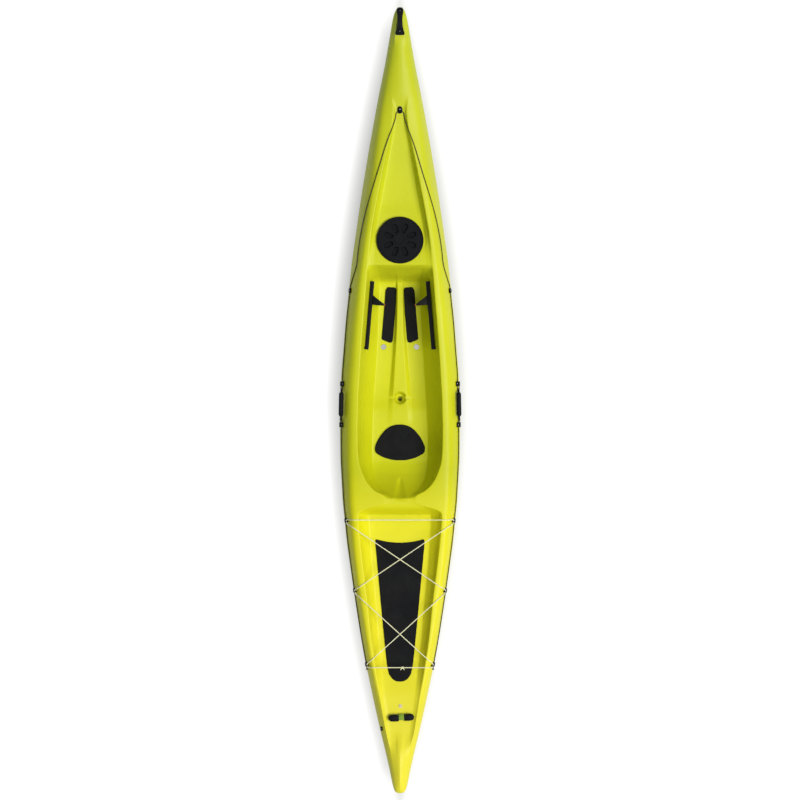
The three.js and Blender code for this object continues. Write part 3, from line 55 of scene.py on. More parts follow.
# The moulding: each row is a place, from -1 at the stern to 1 at the bow, and a share there
HALF, BEAM, SHEER, RIM = 2.25, 0.344, 0.19, 0.092
WALL, GAP = 0.0045, 0.0003
RIDGE_FLAT = 0.62
WALL_KNEE, RIM_KNEE = (0.68, 0.45), (0.45, 0.62)
HATCH_PLACE = 0.4076
beam_rows = [
    [-1, 0.04], [-0.9955, 0.082], [-0.988, 0.105], [-0.968, 0.137], [-0.917, 0.205], [-0.866, 0.29],
    [-0.764, 0.44], [-0.637, 0.617], [-0.484, 0.775], [-0.357, 0.89], [-0.255, 0.957], [-0.15, 0.994],
    [-0.06, 1], [0.051, 0.985], [0.204, 0.905], [0.357, 0.8], [0.51, 0.655], [0.637, 0.52],
    [0.764, 0.37], [0.866, 0.235], [0.943, 0.15], [0.968, 0.122], [0.99, 0.085], [1, 0.035],
]
well_rows = [
    [-1, 0.014], [-0.9, 0.15], [-0.84, 0.24], [-0.76, 0.325], [-0.7, 0.39], [-0.61, 0.48],
    [-0.484, 0.565], [-0.408, 0.635], [-0.32, 0.69], [-0.293, 0.7], [-0.283, 0.67], [-0.273, 0.5],
    [-0.262, 0.25], [-0.2497, 0.18], [-0.2446, 0.22], [-0.2293, 0.425], [-0.204, 0.57], [-0.18, 0.64],
    [-0.153, 0.69], [-0.102, 0.715], [0, 0.7], [0.153, 0.642], [0.255, 0.583], [0.357, 0.535],
    [0.433, 0.478], [0.51, 0.385], [0.586, 0.288], [0.637, 0.217], [0.69, 0.14], [0.735, 0.06],
    [0.9, 0.03], [1, 0.005],
]
floor_rows = [
    [-1, 0.008], [-0.9, 0.1], [-0.84, 0.17], [-0.76, 0.24], [-0.7, 0.29], [-0.61, 0.36], [-0.484, 0.42],
    [-0.408, 0.48], [-0.293, 0.52], [-0.283, 0.5], [-0.273, 0.4], [-0.262, 0.2], [-0.2497, 0.12],
    [-0.2446, 0.15], [-0.2293, 0.28], [-0.204, 0.4], [-0.18, 0.44], [-0.153, 0.46], [-0.102, 0.47],
    [0, 0.44], [0.153, 0.375], [0.3, 0.34], [0.336, 0.36], [0.345, 0.43], [0.357, 0.44], [0.433, 0.395],
    [0.51, 0.31], [0.586, 0.225], [0.637, 0.16], [0.69, 0.1], [0.735, 0.04], [0.9, 0.02], [1, 0.004],
]
foot_rows = [
    [-1, 0.002], [-0.97, 0.035], [-0.9, 0.06], [-0.7, 0.1], [-0.3, 0.22], [-0.273, 0.15],
    [-0.262, 0.08], [-0.2446, 0.08], [-0.2293, 0.14], [-0.2, 0.18], [-0.14, 0.22], [-0.07, 0.218],
    [0.006, 0.19], [0.127, 0.118], [0.25, 0.055], [0.3, 0.045], [0.36, 0.12], [0.5, 0.12], [0.6, 0.08],
    [0.69, 0.05], [0.735, 0.02], [0.9, 0.01], [1, 0.002],
]
shoulder_rows = [
    [-1, 0.5], [-0.95, 0.62], [-0.85, 0.74], [-0.7, 0.82], [-0.45, 0.87], [-0.25, 0.84], [0, 0.81],
    [0.3, 0.79], [0.45, 0.76], [0.6, 0.72], [0.76, 0.7], [0.87, 0.64], [0.95, 0.55], [1, 0.5],
]
seam_rows = [
    [-1, 1.36], [-0.8, 1.18], [-0.5, 1.04], [0, 1], [0.4, 1.08], [0.7, 1.28], [0.9, 1.52], [1, 1.68],
]
keel_rows = [
    [-1, 1.34], [-0.996, 1], [-0.982, 0.7], [-0.955, 0.44], [-0.9, 0.22], [-0.8, 0.08], [-0.65, 0.01],
    [-0.5, 0], [0.5, 0], [0.65, 0.02], [0.8, 0.11], [0.9, 0.31], [0.955, 0.58], [0.982, 0.88],
    [0.996, 1.25], [1, 1.66],
]
level_rows = [
    [-1, 1.6], [-0.9, 1.56], [-0.84, 1.418], [-0.76, 1.4], [-0.7, 1.27], [-0.66, 1.17], [-0.6, 1.13],
    [-0.3, 1.13], [-0.291, 1.15], [-0.283, 1.34], [-0.273, 1.5], [-0.262, 1.54], [-0.2497, 1.54],
    [-0.2446, 1.46], [-0.2293, 1.21], [-0.204, 0.9], [-0.18, 0.7], [-0.153, 0.6], [-0.14, 0.59],
    [-0.03, 0.59], [0.006, 0.5], [0.06, 0.45], [0.29, 0.42], [0.302, 0.5], [0.336, 1.5], [0.345, 1.708],
    [0.47, 1.515], [0.51, 1.47], [0.586, 1.48], [0.65, 1.58], [0.7, 1.65], [0.735, 1.72], [0.77, 1.86],
    [0.85, 1.92], [1, 1.92],
]
rim_rows = [
    [-1, 0], [-0.9955, 0.15], [-0.985, 0.24], [-0.96, 0.36], [-0.85, 0.5], [-0.7, 0.7], [-0.5, 0.92],
    [-0.25, 1.08], [-0.15, 1.02], [0, 1], [0.1, 1.05], [0.25, 1.25], [0.34, 1.38], [0.42, 1.34],
    [0.55, 1.2], [0.7, 0.9], [0.85, 0.6], [0.94, 0.36], [0.985, 0.24], [0.9955, 0.15], [1, 0],
]
crown_rows = [
    [-1, 0], [-0.95, 0.1], [-0.8, 0.06], [-0.7, 0.02], [-0.3, 0.02], [0.3, 0.02], [0.55, 0.05],
    [0.7, 0.12], [0.8, 0.2], [0.94, 0.16], [0.985, 0.1], [1, 0],
]
ridge_rows = [
    [-1, 0], [-0.97, 0.09], [-0.9, 0.11], [-0.84, 0], [-0.07, 0], [-0.03, 0.06], [0.006, 0.18],
    [0.06, 0.3], [0.27, 0.34], [0.302, 0.1], [0.33, 0], [1, 0],
]
sharp_rows = [[-1, 1], [-0.9, 0.85], [-0.35, 0], [0.3, 0], [0.9, 0.9], [1, 1]]
least_foot_rows = [[0.74, 0.08], [0.8, 0.16], [1, 0.16]]
least_floor_rows = [[0.74, 0.16], [0.8, 0.33], [1, 0.33]]
least_well_rows = [[0.74, 0.27], [0.8, 0.52], [0.95, 0.5], [1, 0.42]]
stations = [
    -1, -0.9955, -0.985, -0.968, -0.94, -0.9, -0.84, -0.76, -0.7, -0.66, -0.6, -0.52, -0.44, -0.36,
    -0.3, -0.291, -0.283, -0.273, -0.262, -0.2497, -0.2446, -0.2293, -0.204, -0.18, -0.153, -0.12,
    -0.07, -0.03, 0.006, 0.06, 0.127, 0.2, 0.27, 0.302, 0.32, 0.336, 0.345, 0.42, 0.47, 0.51, 0.55, 0.6,
    0.65, 0.69, 0.735, 0.79, 0.85, 0.9, 0.94, 0.965, 0.983, 0.9955, 1,
]

# Half of the hull's section as shares out and up, where it is blunt and where it is sharp
bottom_rows = [[0, 0, 0, 0], [0.12, 0, 0.1, 0.02], [0.52, 0.1, 0.32, 0.3],
               [0.83, 0.32, 0.56, 0.54], [0.965, 0.66, 0.8, 0.78], [1, 1, 1, 1]]

# Small forms that the curves don't give, in places along the boat or in metres from its middle
FORE_CROWN, STERN_ROOF = ((0.74, 0.785), (0.895, 0.93)), (0.855, 0.91)
CROWN_POWER, ROOF_POWER, CROWN_LIFT = 2.3, 1.35, 0.001
SHOULDER, CENTRE = 2, 8
SOFTER, SOFTER_FORE, SOFTER_AFT = 0.06, (0.70, 0.79), (0.85, 0.92)
GROOVE_AFT, GROOVE_LENGTH, GROOVE_HALF, GROOVE_TIP, GROOVE_DEPTH = -0.565, 0.125, 0.036, 0.003, 0.011
GROOVE_ENDS, GROOVE_TAPER = ((-0.572, -0.55), (-0.47, -0.44)), 0.8
CREASE_ENDS = (1.87, 2.05), (2.12, 2.24)
CREASE_HALF, CREASE_SPREAD, CREASE_HEIGHT, CREASE_POWER = 0.012, 0.035, 0.005, 1.5
SEAT_DEPTH, SEAT_EDGE = 0.0018, (0.147, 0.152)
DECK_STEP, HULL_STEP, CORNER_STEPS = 0.013, 0.02, 5
BLUNT = 0.5


def look(rows, place):
    return float(np.interp(place, [r[0] for r in rows], [r[1] for r in rows]))


def beam_at(place):
    return BEAM * look(beam_rows, place)


def deck_half(place):
    """Half of the deck's section, from the middle out: (across, height) points"""
    beam, seam = beam_at(place), SHEER * look(seam_rows, place)
    rim = seam + RIM * look(rim_rows, place)
    foot = max(BEAM * look(foot_rows, place), beam * look(least_foot_rows, place))
    floor_edge = max(BEAM * look(floor_rows, place), beam * look(least_floor_rows, place))
    well_edge = max(BEAM * look(well_rows, place), beam * look(least_well_rows, place))
    shoulder = beam * look(shoulder_rows, place)
    well_rim = rim + RIM * look(crown_rows, place)
    floor = seam if abs(place) == 1 else min(SHEER * look(level_rows, place), well_rim)
    ridge = floor + RIM * look(ridge_rows, place)
    (out, up), (back, over) = WALL_KNEE, RIM_KNEE
    return [[0, ridge], [foot * RIDGE_FLAT, ridge], [foot, floor], [floor_edge, floor],
            [floor_edge + (well_edge - floor_edge) * out, floor + (well_rim - floor) * up],
            [well_edge, well_rim], [shoulder, rim],
            [beam + (shoulder - beam) * back, seam + (rim - seam) * over], [beam, seam]]


def hull_half(place):
    """Half of the hull's section, from the keel out: (across, height) points"""
    beam, seam = beam_at(place), SHEER * look(seam_rows, place)
    keel = seam if abs(place) == 1 else SHEER * look(keel_rows, place)
    sharp = look(sharp_rows, place)
    return [[beam * (a + (c - a) * sharp), keel + (seam - keel) * (b + (d - b) * sharp)]
            for a, b, c, d in bottom_rows]


def whole(half, sign):
    """A whole section from its half, on its own side of the seam"""
    section = [[-x, z] for x, z in half[:0:-1]] + half
    return [[x, z + sign * GAP / 2] for x, z in section]


def smooth_rows(values, at, new):
    """A curve through every row that never overshoots it, for each column at once"""
    h = np.diff(at)[:, None]
    d = np.diff(values, axis=0) / h
    slope = np.zeros_like(values)
    same = d[1:] * d[:-1] > 0
    w1, w2 = 2 * h[1:] + h[:-1], h[1:] + 2 * h[:-1]
    with np.errstate(divide="ignore", invalid="ignore"):
        mean = (w1 + w2) / (w1 / d[:-1] + w2 / d[1:])
    slope[1:-1] = np.where(same, mean, 0)
    slope[0], slope[-1] = d[0], d[-1]
    i = np.clip(np.searchsorted(at, new, side="right") - 1, 0, len(at) - 2)
    t = ((new - at[i]) / (at[i + 1] - at[i]))[:, None]
    step = (at[i + 1] - at[i])[:, None]
    return ((1 + 2 * t) * (1 - t) ** 2 * values[i] + t * (1 - t) ** 2 * step * slope[i]
            + t * t * (3 - 2 * t) * values[i + 1] + t * t * (t - 1) * step * slope[i + 1])


def arc(first, corner, last, shares):
    return [(1 - t) ** 2 * first + 2 * t * (1 - t) * corner + t * t * last for t in shares]


def rounded(points, fillets, steps, splits):
    """A section with each corner rounded off over its own distance"""
    out = [points[0]]
    for k in range(1, len(points) - 1):
        p, a, b = points[k], points[k - 1] - points[k], points[k + 1] - points[k]
        la, lb = np.hypot(*a), np.hypot(*b)
        da, db = min(fillets[k], la * 0.49), min(fillets[k], lb * 0.49)
        first, last = p + a / max(la, 1e-9) * da, p + b / max(lb, 1e-9) * db
        for s in range(1, splits):
            out.append(out[-1] + (first - out[-1]) / (splits - s + 1))
        out += arc(first, p, last, [s / steps for s in range(steps + 1)])
    for s in range(1, splits + 1):
        out.append(out[-1] + (points[-1] - out[-1]) / (splits - s + 1))
    return np.array(out)


def fine_places(step):
    out = []
    for a, b in zip(stations, stations[1:]):
        n = max(2, math.ceil((b - a) * HALF / step))
        out += [a + (b - a) * k / n for k in range(n)]
    return np.array(out + [1.0])


def bump(v, low, high):
    t = np.clip((v - low) / (high - low), 0, 1)
    return t * t * (3 - 2 * t)


def band(v, rise, fall):
    """1 between a rise and a fall, and 0 outside them"""
    return bump(v, *rise) * (1 - bump(v, *fall))


def crowned(rows, places):
    """The foredeck as one crown between its eyelet and the handle, and the stern as a low roof"""
    inner = slice(SHOULDER + 1, -SHOULDER - 1)
    for row, place in zip(rows, places):
        share = max(band(place, *FORE_CROWN), bump(-place, *STERN_ROOF))
        power = CROWN_POWER if place > 0 else ROOF_POWER
        if share > 0:
            x, top, edge = row[inner, 0], row[CENTRE, 1] + CROWN_LIFT, row[SHOULDER]
            crown = edge[1] + (top - edge[1]) * (1 - np.abs(x / edge[0]) ** power)
            row[inner, 1] += share * (crown - row[inner, 1])
    return rows


def fine_surface(half, sign, fillets, step, splits):
    """A grid of points over the whole deck or hull, smooth along it and rounded across it"""
    control = np.array([whole(half(p), sign) for p in stations])
    at = np.array(stations)
    places = fine_places(step)
    n = control.shape[1]
    rows = smooth_rows(control.reshape(len(stations), -1), at, places).reshape(len(places), n, 2)
    more = SOFTER * (bump(places, *SOFTER_FORE) + bump(-places, *SOFTER_AFT))
    rows = crowned(rows, places) if sign > 0 else rows
    sections = np.array([rounded(row, [f and f + extra for f in fillets], CORNER_STEPS, splits)
                         for extra, row in zip(more, rows)])
    y = np.repeat((places * HALF)[:, None], sections.shape[1], axis=1)
    return np.dstack([sections[:, :, 0], y, sections[:, :, 1]])


def relief(x, y):
    """The teardrop groove behind the seat, the stern's crease and the flat seat round the hatch"""
    t = np.clip((y - GROOVE_AFT) / GROOVE_LENGTH, 0, 1)
    half = GROOVE_HALF * (1 - t) ** GROOVE_TAPER + GROOVE_TIP
    groove = GROOVE_DEPTH * np.clip(1 - (x / half) ** 2, 0, 1) * band(y, *GROOVE_ENDS)
    share = band(-y, *CREASE_ENDS)
    width = CREASE_HALF + CREASE_SPREAD * share
    crease = CREASE_HEIGHT * share * np.exp(-np.abs(x / width) ** CREASE_POWER)
    seat = SEAT_DEPTH * (1 - bump(np.hypot(x, y - HATCH_PLACE * HALF), *SEAT_EDGE))
    return crease - groove - seat


# How far each corner of the deck's section is rounded, from the left gunwale to the right one
half_fillets = [0, BLUNT, 0.026, 0.006, BLUNT, 0.006, 0.003, 0.003]
deck_fillets = half_fillets + [0.01] + half_fillets[::-1]
deck_grid = fine_surface(deck_half, 1, deck_fillets, DECK_STEP, 2)
deck_grid[:, :, 2] += relief(deck_grid[:, :, 0], deck_grid[:, :, 1])
hull_grid = fine_surface(hull_half, -1, [BLUNT] * (2 * len(bottom_rows) - 1), HULL_STEP, 1)


def deck_z(x, y):
    rows = deck_grid[:, 0, 1]
    i = int(np.clip(np.searchsorted(rows, y) - 1, 0, len(rows) - 2))
    t = (y - rows[i]) / (rows[i + 1] - rows[i])
    section = deck_grid[i] + (deck_grid[i + 1] - deck_grid[i]) * t
    return float(np.interp(x, section[:, 0], section[:, 2]))


def deck_up(x, y, probe=0.004):
    across = (deck_z(x + probe, y) - deck_z(x - probe, y)) / (2 * probe)
    along = (deck_z(x, y + probe) - deck_z(x, y - probe)) / (2 * probe)
    return Vector((-across, -along, 1)).normalized()


# Objects and shader nodes
SHADER = "Principled BSDF"


def add_object(name, data, place=(0, 0, 0)):
    obj = bpy.data.objects.new(name, data)
    obj.location = place
    bpy.context.scene.collection.objects.link(obj)
    return obj


def new_mesh(points, faces):
    mesh = bpy.data.meshes.new("mesh")
    mesh.from_pydata([tuple(p) for p in points], [], [tuple(f) for f in faces])
    return mesh


def node(tree, kind, links=(), **values):
    """A shader node with its properties, its input values and the sockets linked into it"""
    made = tree.nodes.new("ShaderNode" + kind)
    for key, value in values.items():
        setattr(made, key, value)
    for socket, value in dict(links).items():
        if isinstance(value, bpy.types.NodeSocket):
            tree.links.new(value, made.inputs[socket])
        else:
            made.inputs[socket].default_value = value
    return made


def maths(tree, operation, *values):
    return node(tree, "Math", dict(enumerate(values)), operation=operation).outputs[0]


def noise(tree, place, scale, detail=2.0, roughness=0.5, stretch=None):
    if stretch:
        place = node(tree, "Mapping", {"Vector": place, "Scale": stretch}).outputs[0]
    links = {"Vector": place, "Scale": scale, "Detail": detail, "Roughness": roughness}
    return node(tree, "TexNoise", links).outputs[0]


def ramp(tree, value, stops):
    made = node(tree, "ValToRGB", {0: value})
    rows = made.color_ramp.elements
    while len(rows) < len(stops):
        rows.new(0.5)
    for row, (at, colour) in zip(rows, stops):
        row.position, row.color = at, (*colour, 1)
    return made.outputs[0]


def paint(tree, socket, value, stops):
    tree.links.new(ramp(tree, value, stops), tree.nodes[SHADER].inputs[socket])


def add_bump(tree, height, distance, strength=1.0):
    """A fine relief on top of those that the shader already has"""
    made = node(tree, "Bump", {"Height": height, "Distance": distance, "Strength": strength})
    normal = tree.nodes[SHADER].inputs["Normal"]
    if normal.links:
        tree.links.new(normal.links[0].from_socket, made.inputs["Normal"])
    tree.links.new(made.outputs[0], normal)


def new_material(**values):
    """A material with its tree and the object's own coordinates"""
    material = bpy.data.materials.new("look")
    material.use_nodes = True
    tree = material.node_tree
    for socket, value in values.items():
        tree.nodes[SHADER].inputs[socket.replace("_", " ")].default_value = value
    return material, tree, node(tree, "TexCoord").outputs["Object"]


def grey(value):
    return (value,) * 3


# Camera, light and floor
VIEW_WIDTH, VIEW_LEVEL, VIEW_Y, LENS, SENSOR, CLIP_END = 4.5856, 0.25, 0.0029, 300, 36, 200
KEY_POWER, KEY_SPREAD, KEY_AZIMUTH, KEY_ELEVATION, KEY_COLOUR = 3.0, 40, 72, 60, (1.0, 0.985, 0.95)
FILL_POWER, FILL_COLOUR, WHITE = 0.20, (0.80, 1.0, 0.86, 1), (1, 1, 1, 1)
FLOOR_HALF, FLOOR_DROP, FLOOR_TONES = 60, 0.001, (0.50, 0.53)
# The painted shadow: the paper's own glow is dimmed under the boat and in a soft band that follows its
# outline, and rises beyond it
PAINTED_SHADOW_IN, PAINTED_SHADOW_OUT, OUTLINE_POWER = 0.02, 0.10, 1.75
PAINTED_SHADOW_GLOW, GLOW_FAR, GLOW_SHARE = 0.85, 1.85, 0.55

view = bpy.context.scene.view_settings
view.view_transform, view.look, view.exposure, view.gamma = "Standard", "None", 0, 1

lens = bpy.data.cameras.new("camera")
lens.lens, lens.sensor_width, lens.clip_end = LENS, SENSOR, CLIP_END
camera = add_object("camera", lens, (0, VIEW_Y, VIEW_LEVEL + VIEW_WIDTH * LENS / SENSOR))
bpy.context.scene.camera = camera

sun = bpy.data.lights.new("key", "SUN")
sun.energy, sun.angle, sun.color = KEY_POWER, math.radians(KEY_SPREAD), KEY_COLOUR
key = add_object("key", sun)
key.rotation_euler = (math.radians(90 - KEY_ELEVATION), 0, math.radians(KEY_AZIMUTH))


def white_rays(tree):
    """1 on the rays that see the background itself: the camera's, and those of mirrors and glass"""
    path = node(tree, "LightPath").outputs
    seen = maths(tree, "MAXIMUM", path["Is Camera Ray"], path["Is Glossy Ray"])
    return maths(tree, "MAXIMUM", seen, path["Is Transmission Ray"])


def paper_with_painted_shadow():
    """White paper that glows to the rays that see it, and less so under the boat and near its outline: a
    painted shadow
    """
    material, tree, place = new_material(Roughness=0.9, Specular_IOR_Level=0.1)
    tones = [(at, grey(tone)) for at, tone in enumerate(FLOOR_TONES)]
    paint(tree, "Base Color", noise(tree, place, scale=2.0, detail=3.0), tones)
    spot = node(tree, "SeparateXYZ", {0: place}).outputs
    beside = maths(tree, "ABSOLUTE", spot[0])
    along = maths(tree, "ABSOLUTE", maths(tree, "DIVIDE", spot[1], HALF))
    away = maths(tree, "MULTIPLY_ADD", maths(tree, "POWER", along, OUTLINE_POWER), BEAM, beside)
    # Painted shadow: the glow is weakest under the boat and rises across a band outside its outline
    shadowed_glow = node(tree, "MapRange", {0: away, 1: BEAM - PAINTED_SHADOW_IN, 2: BEAM + PAINTED_SHADOW_OUT, 3: PAINTED_SHADOW_GLOW, 4: GLOW_FAR})
    paper = node(tree, "Emission", {"Color": WHITE, "Strength": shadowed_glow.outputs[0]})
    seen = maths(tree, "MULTIPLY", white_rays(tree), GLOW_SHARE)
    mix = node(tree, "MixShader", {0: seen, 1: tree.nodes[SHADER].outputs[0], 2: paper.outputs[0]})
    tree.links.new(mix.outputs[0], tree.nodes["Material Output"].inputs["Surface"])
    return material


def square(half, y=0):
    return [(-half, y - half), (half, y - half), (half, y + half), (-half, y + half)]


world = bpy.data.worlds.new("studio")
world.use_nodes = True
sky = world.node_tree
sky.nodes.clear()
fill = node(sky, "Background", {"Color": FILL_COLOUR, "Strength": FILL_POWER}).outputs[0]
white = node(sky, "Background", {"Color": WHITE, "Strength": 1.0}).outputs[0]
mixed = node(sky, "MixShader", {0: white_rays(sky), 1: fill, 2: white})
node(sky, "OutputWorld", {"Surface": mixed.outputs[0]})
bpy.context.scene.world = world

paper = new_mesh([(*corner, 0) for corner in square(FLOOR_HALF)], [(0, 1, 2, 3)])
paper.materials.append(paper_with_painted_shadow())
floor = add_object("floor", paper, (0, 0, start_box[0][2] - FLOOR_DROP))


# Materials, by slot
# The plastic's own blend from yellow at the stern to lime at the bow, with painted shade: the stops turn
# darker and greener from the seat's back forward and stay so through the cockpit, for the green shade of its
# deep bowl
HULL_DYE_AND_PAINTED_SHADE = [
    (0, (0.86, 0.76, 0.045)), (0.34, (0.81, 0.75, 0.012)), (0.41, (0.59, 0.60, 0.006)),
    (0.52, (0.66, 0.66, 0.012)), (0.67, (0.66, 0.67, 0.015)), (1, (0.56, 0.60, 0.02)),
]


def moulded_plastic():
    """Mottled plastic that turns from yellow at the stern to lime at the bow, with painted shade darker and
    greener through the cockpit
    """
    material, tree, place = new_material(IOR=1.5, Specular_IOR_Level=0.22)
    along = node(tree, "SeparateXYZ", {0: place}).outputs[1]
    share = node(tree, "MapRange", {0: along, 1: -HALF, 2: HALF}).outputs[0]
    colour = ramp(tree, share, HULL_DYE_AND_PAINTED_SHADE)
    cloud = noise(tree, place, scale=3.0, detail=4.0, roughness=0.6)
    mottle = ramp(tree, cloud, [(0.3, (0.93, 0.94, 0.9)), (0.7, (1, 1, 1))])
    mixed = node(tree, "Mix", {"Factor": 1.0, 6: colour, 7: mottle}, data_type="RGBA", blend_type="MULTIPLY")
    tree.links.new(mixed.outputs[2], tree.nodes[SHADER].inputs["Base Color"])
    gloss = noise(tree, place, scale=40, detail=5.0, roughness=0.7)
    paint(tree, "Roughness", gloss, [(0.3, grey(0.32)), (0.75, grey(0.5))])
    add_bump(tree, noise(tree, place, scale=28), 0.0006)
    add_bump(tree, noise(tree, place, scale=420, detail=3.0), 0.00016)
    return material


def black_plastic(base, roughness, grain, depth):
    material, tree, place = new_material(IOR=1.5, Specular_IOR_Level=0.07)
    tone = noise(tree, place, scale=30, detail=4.0, roughness=0.65)
    lighter = tuple(c * 1.7 for c in base)
    paint(tree, "Base Color", tone, [(0.3, base), (0.75, lighter)])
    gloss = [(0.3, grey(roughness - 0.08)), (0.7, grey(roughness + 0.1))]
    paint(tree, "Roughness", noise(tree, place, scale=160, detail=4.0), gloss)
    add_bump(tree, noise(tree, place, grain), depth)
    return material


def foam():
    material, tree, place = new_material(IOR=1.4, Roughness=0.92, Specular_IOR_Level=0.12)
    cells = node(tree, "TexVoronoi", {"Vector": place, "Scale": 520.0}).outputs[0]
    tone = noise(tree, place, scale=9, detail=5.0, roughness=0.7)
    paint(tree, "Base Color", tone, [(0.25, (0.008, 0.008, 0.010)), (0.8, (0.016, 0.016, 0.018))])
    add_bump(tree, cells, 0.0006, 0.6)
    add_bump(tree, noise(tree, place, scale=60, detail=3.0), 0.0008)
    return material


def cord_material(dark, light, pitch, strands=3):
    """Braided cord, patterned by its UV map: metres along, then a share round"""
    material, tree, place = new_material(Roughness=0.8, Specular_IOR_Level=0.15, Sheen_Weight=0.1)
    uv = node(tree, "SeparateXYZ", {0: node(tree, "UVMap", uv_map="route").outputs[0]}).outputs
    along = maths(tree, "MULTIPLY", uv[0], math.tau / pitch)
    around = maths(tree, "MULTIPLY", uv[1], math.tau * strands)
    waves = [maths(tree, "SINE", maths(tree, kind, along, around)) for kind in ("ADD", "SUBTRACT")]
    weave = node(tree, "MapRange", {0: maths(tree, "MULTIPLY", *waves), 1: -1.0, 2: 1.0}).outputs[0]
    # Painted shade: the colour is darker in the weave's grooves, where its bump sinks; the noise adds random
    # tone
    tone = maths(tree, "ADD", weave, noise(tree, place, scale=60, detail=3.0))
    paint(tree, "Base Color", tone, [(0.45, dark), (0.95, light)])
    add_bump(tree, weave, 0.0005)
    return material


def webbing():
    material, tree, place = new_material(Roughness=0.85, Specular_IOR_Level=0.15, Sheen_Weight=0.15)
    ribs = []
    for axis, scale in (("X", 130.0), ("Y", 210.0)):
        links = {"Vector": place, "Scale": scale, "Distortion": 0.6}
        ribs.append(node(tree, "TexWave", links, bands_direction=axis).outputs[1])
    weave = maths(tree, "MULTIPLY", *ribs)
    # Painted shade: the colour is darker in the weave's grooves, where its bump sinks
    paint(tree, "Base Color", weave, [(0.1, (0.20, 0.31, 0.03)), (0.8, (0.42, 0.62, 0.07))])
    add_bump(tree, weave, 0.0005)
    return material


def tinted_plastic(dark, light, roughness):
    material, tree, place = new_material(Roughness=roughness, Specular_IOR_Level=0.35)
    paint(tree, "Base Color", noise(tree, place, scale=70, detail=4.0), [(0.3, dark), (0.7, light)])
    add_bump(tree, noise(tree, place, scale=500), 0.0001)
    return material


def screw_steel():
    material, tree, place = new_material(Metallic=1.0)
    marks = noise(tree, place, scale=700, detail=3.0, roughness=0.6, stretch=(1, 1, 6))
    paint(tree, "Base Color", marks, [(0.3, (0.45, 0.46, 0.47)), (0.7, (0.68, 0.69, 0.70))])
    paint(tree, "Roughness", marks, [(0.3, grey(0.22)), (0.7, grey(0.42))])
    return material


looks = {
    "moulded_hull": moulded_plastic(),
    "black_plastic": black_plastic((0.0045, 0.0048, 0.0055), 0.46, 900, 0.00012),
    "soft_black": black_plastic((0.0045, 0.0048, 0.0062), 0.55, 500, 0.0003),
    "foam": foam(),
    "line": cord_material((0.006, 0.005, 0.004), (0.035, 0.030, 0.024), 0.008),
    "bungee": cord_material((0.66, 0.62, 0.36), (0.95, 0.92, 0.66), 0.007),
    "webbing": webbing(),
    "steel": screw_steel(),
    "pale_plastic": tinted_plastic((0.62, 0.52, 0.38), (0.78, 0.68, 0.52), 0.45),
    "red_plastic": tinted_plastic((0.42, 0.045, 0.015), (0.60, 0.08, 0.025), 0.4),
}
for slot, material in looks.items():
    material.name = slot


# The two shells
def grid_mesh(upper, lower):
    """A closed shell between two grids of the same size"""
    rows, columns = upper.shape[:2]
    vertices = np.vstack([upper.reshape(-1, 3), lower.reshape(-1, 3)])
    k = np.arange(rows * columns).reshape(rows, columns)
    top = np.stack([k[:-1, :-1], k[:-1, 1:], k[1:, 1:], k[1:, :-1]], axis=-1).reshape(-1, 4)
    under = top[:, ::-1] + rows * columns
    ring = np.concatenate([k[0, :], k[1:, -1], k[-1, -2::-1], k[-2:0:-1, 0]])
    after = np.roll(ring, -1)
    sides = np.stack([after, ring, ring + rows * columns, after + rows * columns], axis=-1)
    return new_mesh(vertices.tolist(), np.vstack([top, under, sides]).tolist())


def shell_mesh(grid, thinnest=0.3):
    """A wall under a grid of points, thinner where the boat is narrow"""
    normals = np.cross(np.gradient(grid, axis=1), np.gradient(grid, axis=0))
    normals /= np.maximum(np.linalg.norm(normals, axis=2, keepdims=True), 1e-12)
    edge = np.abs(grid[:, 0, 0])[:, None, None]
    return grid_mesh(grid, grid - normals * np.minimum(WALL, edge * thinnest))


def standing(points):
    """A closed mesh between two outlines of as many points, the low one first"""
    n = len(points) // 2
    faces = [(i, (i + 1) % n, n + (i + 1) % n, n + i) for i in range(n)]
    faces += [tuple(reversed(range(n))), tuple(range(n, 2 * n))]
    return new_mesh(points, faces)


def cone(radius, low, high, end_radius=None, sides=48):
    """A closed cone or rod from one point to another"""
    end_radius = radius if end_radius is None else end_radius
    low, high = Vector(low), Vector(high)
    turn = (high - low).to_track_quat("Z", "Y").to_matrix()
    angles = [math.tau * i / sides for i in range(sides)]
    points = [centre + turn @ Vector((size * math.cos(a), size * math.sin(a), 0))
              for centre, size in ((low, radius), (high, end_radius)) for a in angles]
    return standing(points)


def apply_changes(obj):
    depsgraph = bpy.context.evaluated_depsgraph_get()
    result = bpy.data.meshes.new_from_object(obj.evaluated_get(depsgraph))
    obj.modifiers.clear()
    obj.data = result


JOIN, CUT = "UNION", "DIFFERENCE"


def combine(obj, mesh, operation):
    """Joins a mesh to an object or cuts it away, exactly"""
    tool = add_object("tool", mesh)
    change = obj.modifiers.new("change", "BOOLEAN")
    change.operation, change.solver, change.object = operation, "EXACT", tool
    apply_changes(obj)
    bpy.data.objects.remove(tool)


def finish_piece(obj, degrees, body, node_name, slot):
    """A piece's smoothing and look, the body that it rides on and the node that it stands in for"""
    obj.data.name = obj.name
    obj.data.shade_smooth()
    obj.data.set_sharp_from_angle(angle=math.radians(degrees))
    obj.data.materials.clear()
    obj.data.materials.append(looks[slot])
    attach(obj, body)
    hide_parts(node_name)


# Frames on the part's own deck, which is straight between stations
deck_control = np.array([whole(deck_half(place), 1) for place in stations])


def cad_height(place, x):
    i = min(int(np.searchsorted(stations, place, side="right")), len(stations) - 1)
    share = (place - stations[i - 1]) / (stations[i] - stations[i - 1])
    row = deck_control[i - 1] + (deck_control[i] - deck_control[i - 1]) * share
    return float(np.interp(x, row[:, 0], row[:, 1]))


